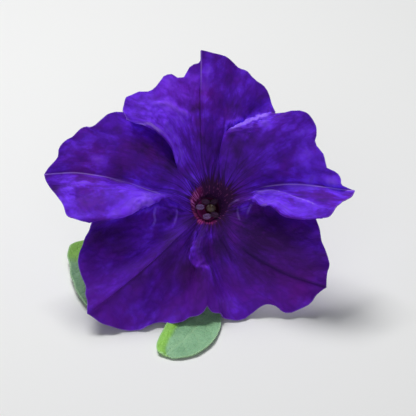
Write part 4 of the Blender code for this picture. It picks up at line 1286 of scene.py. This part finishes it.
class PetuniaSettings(bpy.types.PropertyGroup):
    """Sizes and colours of the flower and its shoot."""

    petal_thickness: FloatProperty(
        name="Petal Thickness", description="Thickness of the petals", default=0.0003, unit="LENGTH"
    )
    midrib_height: FloatProperty(
        name="Midrib Height", description="How sharply the petals are creased", default=MIDRIB_HEIGHT
    )
    fold_height: FloatProperty(name="Fold Height", description="Strength of the small folds", default=1.0)
    swell_height: FloatProperty(
        name="Swell Height", description="Height of a petal's soft swells, in millimetres", default=0.8
    )
    wrinkle_height: FloatProperty(
        name="Wrinkle Height", description="Height of the radial wrinkles, in millimetres", default=0.14
    )
    crumple_height: FloatProperty(
        name="Crumple Height", description="Height of the crumpled creases, in millimetres", default=0.7
    )
    ruffle_height: FloatProperty(
        name="Ruffle Height", description="How far the rim flutters, in millimetres", default=1.1
    )
    petal_level: FloatProperty(
        name="Petal Level", description="How bright the violet is, from 0 to 1", default=0.72
    )
    petal_dark: tint("Petal Dark", "Darkest purple", 0.035, 0.004, 0.11)
    petal_deep: tint("Petal Deep", "Deep purple", 0.062, 0.007, 0.25)
    petal_mid: tint("Petal Mid", "Violet", 0.1, 0.01, 0.52)
    petal_bright: tint("Petal Bright", "Brightest blue violet", 0.17, 0.03, 0.97)
    # a painted glow, not a lamp, for light that comes through the tube's wall
    tube_glow: tint("Tube Glow", "Light that comes through the tube's wall", 0.045, 0.004, 0.035)
    # the palest violet, a painted sheen that the painted highlights and the brightest blotches reach
    petal_pale: tint("Palest Violet", "Colour of the petals' brightest places", 0.24, 0.08, 1.0)
    # a redder, deeper purple low down by the surface, partly painted shade
    petal_blush_and_shade: tint("Petal Blush", "Redder purple of the low rims", 0.12, 0.008, 0.36)
    petal_redden: FloatVectorProperty(
        name="Petal Redden",
        description="What the violet is multiplied by where it is redder",
        default=(1.4, 0.95, 0.82),
    )
    petal_back: tint("Petal Back", "Paler outside", 0.25, 0.13, 0.6)
    tube_foot: tint("Tube Foot", "Pale green foot of the tube", 0.4, 0.46, 0.26)
    vein: tint("Vein", "Dark vein", 0.022, 0.003, 0.075)
    # the colour of the painted highlight lines along midribs and folds
    midrib: tint("Midrib", "Pale midrib line", 0.5, 0.29, 1.0)
    rim: tint("Rim", "Pale rim", 0.34, 0.16, 0.75)
    throat: tint("Throat", "Maroon of the throat", 0.033, 0.0035, 0.05)
    # painted light: the lighter maroon down the tube, strongest on its lit side
    tube_wall: tint("Tube Wall", "Lighter maroon down the tube", 0.62, 0.06, 0.34)
    # pink flecks, partly painted glints
    fleck: tint("Fleck", "Pink flecks in the throat", 0.36, 0.08, 0.3)
    streak: tint("Streak", "Crimson streaks of the throat", 0.62, 0.075, 0.33)
    streak_lilac: tint("Lilac Streak", "Paler streaks up the throat's side", 0.7, 0.17, 0.7)
    throat_warm: tint("Throat Warm", "Magenta behind the streaks", 0.3, 0.012, 0.17)
    anther_skin: tint("Anther", "Grey lilac of the anthers", 0.12, 0.06, 0.19)
    stigma_skin: tint("Stigma", "Olive of the stigma", 0.034, 0.017, 0.013)
    filament_skin: tint("Filament", "Maroon pink of the filaments", 0.36, 0.06, 0.2)
    stalk_skin: tint("Stalk", "Green of stem, stalk and sepals", 0.19, 0.33, 0.1)
    stalk_pale: tint("Pale Stalk", "Paler ribs of the stem", 0.33, 0.48, 0.2)
    leaf_deep: tint("Leaf Deep", "Darker leaf green", 0.17, 0.38, 0.19)
    leaf_bright: tint("Leaf Bright", "Lighter leaf green", 0.29, 0.56, 0.31)
    leaf_vein: tint("Leaf Vein", "Veins and margin", 0.42, 0.66, 0.36)
    leaf_margin: tint("Leaf Margin", "Turned margin", 0.3, 0.66, 0.07)


class PETUNIA_OT_corolla(bpy.types.Operator):
    """Model the ruffled five-lobed corolla with its tube"""

    bl_idname = "petunia.corolla"
    bl_label = "Corolla"

    def execute(self, context):
        settings = context.scene.petunia
        points, fields = corolla_surface(settings)
        corolla, row, column = add_sheet("ruffled_corolla", close_ring(points))
        for name, values in fields.items():
            paint(corolla, name, close_ring(values)[row, column])
        merge_seam(corolla)
        for material in (petal_material(settings), petal_material(settings, back=True)):
            corolla.data.materials.append(material)
        apply_modifier(
            corolla,
            "SOLIDIFY",
            thickness=settings.petal_thickness,
            offset=0.0,
            material_offset=1,
            material_offset_rim=0,
        )
        finish_piece(corolla, (), ("corolla",))
        return {"FINISHED"}


def sepal_grid(turn, rows=44, columns=17):
    """One narrow blunt sepal with a raised midrib, standing on the receptacle."""
    grid = []
    for share in np.linspace(0, 1, rows):
        w = RECEPTACLE_TOP + 0.05 + share * SEPAL_LENGTH
        tube, middle = tube_at(w)
        out = tube + 0.75 + SEPAL_SPREAD * share**2 + 0.12 * math.sin(9 * share + 3 * turn)
        tip = math.sqrt(max(0.0, 1 - ((share - 0.72) / 0.28) ** 2)) if share > 0.72 else 1.0
        waist = 1.25 - 0.85 * smooth_step(share, 0.0, 0.3) + 0.6 * smooth_step(share, 0.2, 0.72)
        half = SEPAL_WIDTH / 2 * waist
        row = []
        for side in np.linspace(-1, 1, columns):
            lean = side * half * max(tip, 0.04) / out
            keel = 0.22 * math.exp(-((side * half / 0.35) ** 2)) - 0.3 * abs(side) ** 3 * share
            row.append(middle + (out + keel) * out_from_axis(turn + lean))
        grid.append(row)
    return np.array(grid)


class PETUNIA_OT_calyx(bpy.types.Operator):
    """Model the five sepals round the tube"""

    bl_idname = "petunia.calyx"
    bl_label = "Calyx"

    def execute(self, context):
        settings = context.scene.petunia
        sepals = []
        for number in range(5):
            grid = sepal_grid(math.radians(FIRST_SEPAL_DEG + 72 * number))
            rows, columns = grid.shape[:2]
            sepal, row, column = add_sheet(f"sepal_blade_{number + 1}", in_object(grid))
            across = np.linspace(-1, 1, columns)
            along = np.linspace(0, SEPAL_LENGTH, rows)[:, None]
            field = np.stack(np.broadcast_arrays(across, 0.0, along), axis=2)
            paint(sepal, "along_field", field[row, column])
            apply_modifier(sepal, "SOLIDIFY", thickness=0.00045, offset=0.0)
            sepals.append(sepal)
        calyx = join_pieces("calyx", sepals)
        greens = settings.stalk_skin, settings.stalk_pale
        skin = green_material("sepal_skin", *greens, 300.0, 2200.0, tint=((0.3, 0.26, 0.2), 11.0, 15.0))
        finish_piece(calyx, (skin,), [f"sepal_{number}" for number in range(1, 6)])
        return {"FINISHED"}


def add_anther(number, place, turn):
    """Two pollen sacs side by side, pinched along their seam."""
    anther, x, y, z = add_ball(f"anther_sac_{number}", 28, 18)
    seam = np.exp(-((y / 0.3) ** 2))
    swell = 1 + 0.16 * np.abs(y) - 0.34 * seam * (z > 0) - 0.12 * seam * (z <= 0)
    long, wide, thick = ANTHER_SIZE
    local = np.stack([x * long * (1 + 0.1 * np.abs(y)), y * wide, z * thick * swell], axis=1)
    local *= 1 + 0.06 * noise_of(local + number * 7.0, 0.5)[:, None]
    p = local[:, 0] * math.cos(turn) - local[:, 1] * math.sin(turn)
    q = local[:, 0] * math.sin(turn) + local[:, 1] * math.cos(turn)
    move_vertices(anther, in_object(np.stack([p, q, local[:, 2]], axis=1) + np.array(place)))
    shade_depth = np.full(len(x), ANTHER_DEPTHS[number - 1])
    paint(anther, "sac_field", np.stack([shade_depth, y, z], axis=1))
    return anther


class PETUNIA_OT_stamens(bpy.types.Operator):
    """Model the filaments on the tube's wall and the anthers in the throat"""

    bl_idname = "petunia.stamens"
    bl_label = "Stamens"

    def execute(self, context):
        settings = context.scene.petunia
        tube, middle = tube_at(FILAMENT_FOOT)
        filaments, anthers = [], []
        for number, place in enumerate(ANTHERS, start=1):
            turn = math.atan2(place[1] - STIGMA[1], place[0] - STIGMA[0])
            out = out_from_axis(turn)
            top = np.array(place) - np.array((0, 0, ANTHER_SIZE[2] * 0.7))
            foot = middle + (tube - 0.5) * out
            line = smooth_line([foot, (foot + top) / 2 + 0.1 * out, top], 40)
            radii = np.interp(np.linspace(0, 1, 40), (0, 0.85, 1), (0.36, FILAMENT_RADIUS, 0.2))
            turn += ANTHER_TURNS[number - 1]
            filaments.append(add_rod(f"filament_rod_{number}", in_object(line), radii, 10))
            anthers.append(add_anther(number, place, turn))
        pinks = settings.filament_skin, settings.fleck
        filament_skin = green_material("filament_skin", *pinks, 400.0, 3000.0, hairy=0.05, roughness=0.4)
        for pieces, skin, kind in (
            (filaments, filament_skin, "filament"),
            (anthers, pollen_material(settings), "anther"),
        ):
            nodes = [f"{kind}_{number}" for number in range(1, 6)]
            finish_piece(join_pieces(f"{kind}s", pieces), (skin,), nodes)
        return {"FINISHED"}


class PETUNIA_OT_pistil(bpy.types.Operator):
    """Model the ovary, its style and the two-lobed stigma"""

    bl_idname = "petunia.pistil"
    bl_label = "Pistil"

    def execute(self, context):
        settings = context.scene.petunia
        heights = np.linspace(RECEPTACLE_TOP + 0.1, OVARY_TOP, 24)
        share = np.linspace(0, 1, 24)
        radii = OVARY_RADIUS * np.interp(share, *zip(*OVARY_PROFILE))
        ovary = add_rod("ovary_body", on_axis(heights), radii, 20)
        top, foot = np.array(STIGMA) - (0, 0, STIGMA_RADIUS * 0.6), np.array((0, 0, OVARY_TOP - 0.2))
        line = smooth_line([foot, (foot + top) / 2 + (0.4, 0.6, 0.0), top], 50)
        style = add_rod("style_rod", in_object(line), np.full(50, STYLE_RADIUS), 10)
        browns = (0.2, 0.12, 0.07), (0.32, 0.2, 0.13)
        skin = green_material("pistil_skin", *browns, 400.0, 3000.0, hairy=0.0, roughness=0.4)
        pistil = join_pieces("pistil_column", [ovary, style])
        finish_piece(pistil, (skin,), ("ovary", "style"))
        knob, x, y, z = add_ball("stigma_knob", 36, 24)
        cleft = np.exp(-((x / 0.22) ** 2)) * (z > -0.2)
        rim = 1 + 0.12 * np.exp(-(((z - 0.1) / 0.3) ** 2))
        local = np.stack([x * 1.16 * rim, y * 0.9 * rim, z * 0.62 - 0.2 * cleft], axis=1) * STIGMA_RADIUS
        local *= 1 + 0.07 * noise_of(local, 0.35)[:, None]
        move_vertices(knob, in_object(local + np.array(STIGMA)))
        paint(knob, "sac_field", np.stack([x, y, z], axis=1))
        finish_piece(knob, (stigma_material(settings),), ("stigma",))
        return {"FINISHED"}


class PETUNIA_OT_stalk(bpy.types.Operator):
    """Model the receptacle's cup and the flower stalk"""

    bl_idname = "petunia.stalk"
    bl_label = "Flower Stalk"

    def execute(self, context):
        settings = context.scene.petunia
        depths, cup_radii = zip(*RECEPTACLE)
        depth = np.linspace(0, 1, 26) * depths[-1]
        cup = on_axis(RECEPTACLE_TOP - depth)
        stalk = smooth_line([cup[-1], *beside_flower(PEDICEL_ROUTE)], 90)
        line = np.concatenate([cup, stalk[1:], beside_flower([PEDICEL_FOOT])])
        radii = np.interp(depth, depths, cup_radii) * 0.97
        radii[0] *= 0.9
        share = np.linspace(0, 1, 90)[1:]
        slim = np.interp(share, (0, 0.08, 0.9, 1), (cup_radii[-1], PEDICEL_RADIUS, PEDICEL_RADIUS, 1.1))
        radii = np.concatenate([radii, slim, [1.25]])
        piece = add_rod("flower_stalk", line, radii, 24, knobble=0.07, seed=2.0)
        skin = green_material("stalk_skin", settings.stalk_skin, settings.stalk_pale, 260.0, 1800.0)
        finish_piece(piece, (skin,), ("pedicel",))
        return {"FINISHED"}


class PETUNIA_OT_stem(bpy.types.Operator):
    """Model the shoot's stem from its cut end to its young tip"""

    bl_idname = "petunia.stem"
    bl_label = "Stem"

    def execute(self, context):
        settings = context.scene.petunia
        route = smooth_line(STEM_ROUTE, 170)
        line, radii = beside_flower(route[:, :3]), route[:, 3]
        radii = np.concatenate([radii * 0.99, [radii[-1] * 0.6]])
        line = np.vstack([line, 2 * line[-1] - line[-2]])
        stem = add_rod("shoot_stem", line, radii, 28, knobble=0.06, seed=5.0)
        cut = Vector(line[0] * MM)
        make_active(stem)
        ends = [face for face in stem.data.polygons if len(face.vertices) > 4]
        end = min(ends, key=lambda face: (Vector(face.center) - cut).length).index
        bpy.ops.object.mode_set(mode="EDIT")
        bpy.ops.mesh.select_mode(type="FACE")
        bpy.ops.mesh.select_all(action="DESELECT")
        bpy.ops.object.mode_set(mode="OBJECT")
        stem.data.polygons[end].select = True
        bpy.ops.object.mode_set(mode="EDIT")
        for thickness, depth in CUT_RINGS:
            bpy.ops.mesh.inset(thickness=thickness, depth=depth)
        bpy.ops.mesh.select_mode(type="VERT")
        bpy.ops.object.mode_set(mode="OBJECT")
        greens = settings.stalk_skin, settings.stalk_pale
        skin = green_material("stem_skin", *greens, 220.0, 1500.0, tint=((0.42, 0.46, 0.24), 0.25, 0.0))
        finish_piece(stem, (skin,), ("stem",), angle=math.radians(50))
        return {"FINISHED"}


def leaf_half_width(share):
    """A leaf's half width along it, as a share of its widest: a short stalk, the blade and a round tip."""
    blade = np.clip((share - STALK_LENGTH) / (1 - STALK_LENGTH), 0, 1)
    return STALK_WIDTH + (1 - STALK_WIDTH) * np.abs(np.sin(np.pi * blade**WIDEST)) ** ROUNDNESS


def leaf_surface(name, route, width, rise, seed):
    """A leaf's middle surface in millimetres and the field that its material reads."""
    young = name.startswith("young")
    rows, columns, spacing, vein_width, rib_width, depth, waves, dimples = LEAF_DETAILS[young]
    shares = 1 - (1 - np.linspace(0, 1, rows)) ** TIP_CROWDING
    midrib = smooth_line(beside_flower(route), 0, shares)
    length = length_along(midrib)[-1]
    along = unit(np.gradient(midrib, axis=0))
    side = unit(np.cross(along, (0, 0, 1)))
    up = np.cross(side, along)
    across = np.sin(np.linspace(-1, 1, columns) * math.pi / 2 * 0.9) / math.sin(math.pi / 2 * 0.9)
    half = width / 2 * leaf_half_width(shares)[:, None]
    uneven = noise_of(np.stack([shares * length / 5, shares * 0, shares * 0 + seed], axis=1), 1)
    half = half * (1 + 0.035 * uneven[:, None])
    if name in LEAF_SIDES:  # one of its sides is uneven
        which, at, width_there = LEAF_SIDES[name]
        half = half * np.where(across * which > 0, np.interp(shares, at, width_there)[:, None], 1.0)
    if name == "low_leaf":
        half = half * (1 + 0.12 * smooth_step(shares, 0.7, 0.9)[:, None])
    out = half * np.abs(across)
    lift = rise * half * (np.abs(across) - 0.35 * across**2)
    # side veins, which leave the midrib forwards and curve along the margin
    phase = (shares[:, None] * length - out * 0.75 - out**2 * 0.03) / spacing + 0.25 * np.sign(across)
    nearest = np.abs(phase - np.rint(phase)) * spacing
    fade = smooth_step(np.abs(across), 1.0, 0.75) * smooth_step(shares[:, None], STALK_LENGTH, 0.16)
    veins = np.exp(-((nearest / vein_width) ** 2)) * fade
    rib = np.exp(-((out / rib_width) ** 2))
    quilt = np.cos(2 * np.pi * phase) * fade * smooth_step(out, 0.0, 1.5)
    relief = depth * (-0.13 * veins - 0.3 * rib - 0.09 * quilt)
    places = midrib[:, None] + side[:, None] * (half * across)[..., None]
    wave = noise_of(places, 6.0, seed) * np.abs(across) ** 2 * smooth_step(shares[:, None], 0.15, 0.4)
    lift = lift + waves * wave + dimples * noise_of(places, 3.0, seed + 4)
    curl = np.zeros_like(out)
    if name == "low_leaf":
        # a yellow-green band along its left side, a little raised towards the tip
        curl = smooth_step(shares, 0.64, 0.8)[:, None] * smooth_step(half * (1 - across), 4.2, 1.6)
        lift = lift + 0.5 * curl**2
    if name == "side_leaf":
        curl = smooth_step(across, 0.3, 0.7) * smooth_step(shares, 0.66, 0.5)[:, None]
    grid = places + up[:, None] * (relief + lift)[..., None]
    margin = np.minimum(half - out, (1 - shares)[:, None] * length)
    field = np.stack([margin, np.maximum(veins * 0.7, rib), curl], axis=2)
    low = LEAF_THICKNESS / 2 + 0.08
    grid[..., 2] = low + 0.25 * np.logaddexp(0, (grid[..., 2] - low) / 0.25)
    return grid, field


class PETUNIA_OT_leaves(bpy.types.Operator):
    """Model the two leaves at the node and the three young ones on the shoot"""

    bl_idname = "petunia.leaves"
    bl_label = "Leaves"

    def execute(self, context):
        settings = context.scene.petunia
        for seed, (name, (node, route, width, rise)) in enumerate(LEAVES.items()):
            points, field = leaf_surface(name, route, width, rise, seed * 3.7)
            leaf, row, column = add_sheet(name, points)
            paint(leaf, "leaf_field", field[row, column])
            apply_modifier(leaf, "SOLIDIFY", thickness=LEAF_THICKNESS * MM, offset=0.0)
            blade = leaf_material(settings, 1.0 if name == "low_leaf" else LEAF_SHADE)
            finish_piece(leaf, (blade,), (node,))
        return {"FINISHED"}


def outside_tube(places, normals):
    """Whether each place on the corolla is on the outside of its tube."""
    foot, mouth = on_axis(np.array(HAIRY_TUBE))
    ahead = unit(mouth - foot)
    run = (places - foot) @ ahead
    radial = places - foot - run[:, None] * ahead
    close = np.linalg.norm(radial, axis=1) < HAIRY_RADIUS
    outward = (unit(radial) * normals).sum(axis=1) > 0.4
    return (run > 1) & (run < HAIRY_TUBE[1] - HAIRY_TUBE[0]) & close & outward


class PETUNIA_OT_hairs(bpy.types.Operator):
    """Grow the fine hairs on the stem, the stalk, the calyx and the tube"""

    bl_idname = "petunia.hairs"
    bl_label = "Hairs"

    def execute(self, context):
        hair = hair_material()
        for name, piece, slot, count, length, radius, seed in HAIRS:
            keep = outside_tube if name == "tube_hairs" else None
            roots, normals = scatter_on(bpy.data.objects[piece], count, seed, keep)
            hairs = add_hairs(name, roots, normals, length, radius, seed)
            finish_piece(hairs, (hair,), ())
        return {"FINISHED"}


class PETUNIA_OT_stage(bpy.types.Operator):
    """Set the pale floor, the soft lamps and the camera"""

    bl_idname = "petunia.stage"
    bl_label = "Stage"

    def execute(self, context):
        deselect()
        bpy.ops.mesh.primitive_plane_add(size=FLOOR_SIZE, location=(0, 0, FLOOR_HEIGHT))
        floor = context.active_object
        floor.name = "floor"
        floor.data.materials.append(Look("floor_paper", Roughness=0.9, Base_Color=FLOOR_COLOUR).material)
        throat = Vector(THROAT) * MM
        for name, place, size, power in LAMPS:
            add_lamp(name, throat + Vector(place), throat, size, power)
        world = bpy.data.worlds.new("soft_sky")
        context.scene.world = world
        world.use_nodes = True
        background = world.node_tree.nodes["Background"]
        background.inputs["Color"].default_value = SKY_COLOUR
        background.inputs["Strength"].default_value = SKY_STRENGTH
        add_camera(context, throat)
        context.scene.view_settings.view_transform = "Standard"
        return {"FINISHED"}


def add_lamp(name, place, aim, size, power):
    deselect()
    bpy.ops.object.light_add(type="AREA", location=place)
    lamp = bpy.context.active_object
    lamp.name = name
    lamp.data.size = size
    lamp.data.energy = power
    lamp.rotation_euler = (aim - place).to_track_quat("-Z", "Y").to_euler()


def add_camera(context, throat):
    back = Vector((0, -math.cos(CAMERA_ELEVATION), math.sin(CAMERA_ELEVATION)))
    up = Vector((0, math.sin(CAMERA_ELEVATION), math.cos(CAMERA_ELEVATION)))
    aim = throat + Vector((CAMERA_SHIFT[0], 0, 0)) + up * CAMERA_SHIFT[1]
    camera_data = bpy.data.cameras.new("camera")
    camera_data.lens = CAMERA_LENS
    camera_data.sensor_width = 36.0
    camera = bpy.data.objects.new("camera", camera_data)
    context.scene.collection.objects.link(camera)
    camera.location = aim + back * CAMERA_DISTANCE
    camera.rotation_euler = (-back).to_track_quat("-Z", "Y").to_euler()
    context.scene.camera = camera


class PETUNIA_PT_panel(bpy.types.Panel):
    """Lists the steps of the model"""

    bl_label = "Petunia Flower"
    bl_space_type = "VIEW_3D"
    bl_region_type = "UI"
    bl_category = "Petunia"

    def draw(self, context):
        for step in STEPS:
            self.layout.operator(step.bl_idname)


STEPS = (
    PETUNIA_OT_corolla,
    PETUNIA_OT_calyx,
    PETUNIA_OT_stamens,
    PETUNIA_OT_pistil,
    PETUNIA_OT_stalk,
    PETUNIA_OT_stem,
    PETUNIA_OT_leaves,
    PETUNIA_OT_hairs,
    PETUNIA_OT_stage,
)
CLASSES = (PetuniaSettings, *STEPS, PETUNIA_PT_panel)


def register():
    for cls in CLASSES:
        bpy.utils.register_class(cls)
    bpy.types.Scene.petunia = PointerProperty(type=PetuniaSettings)


def unregister():
    del bpy.types.Scene.petunia
    for cls in reversed(CLASSES):
        bpy.utils.unregister_class(cls)


def main():
    register()
    for step in STEPS:
        family, name = step.bl_idname.split(".")
        getattr(getattr(bpy.ops, family), name)()


if __name__ == "__main__":
    main()
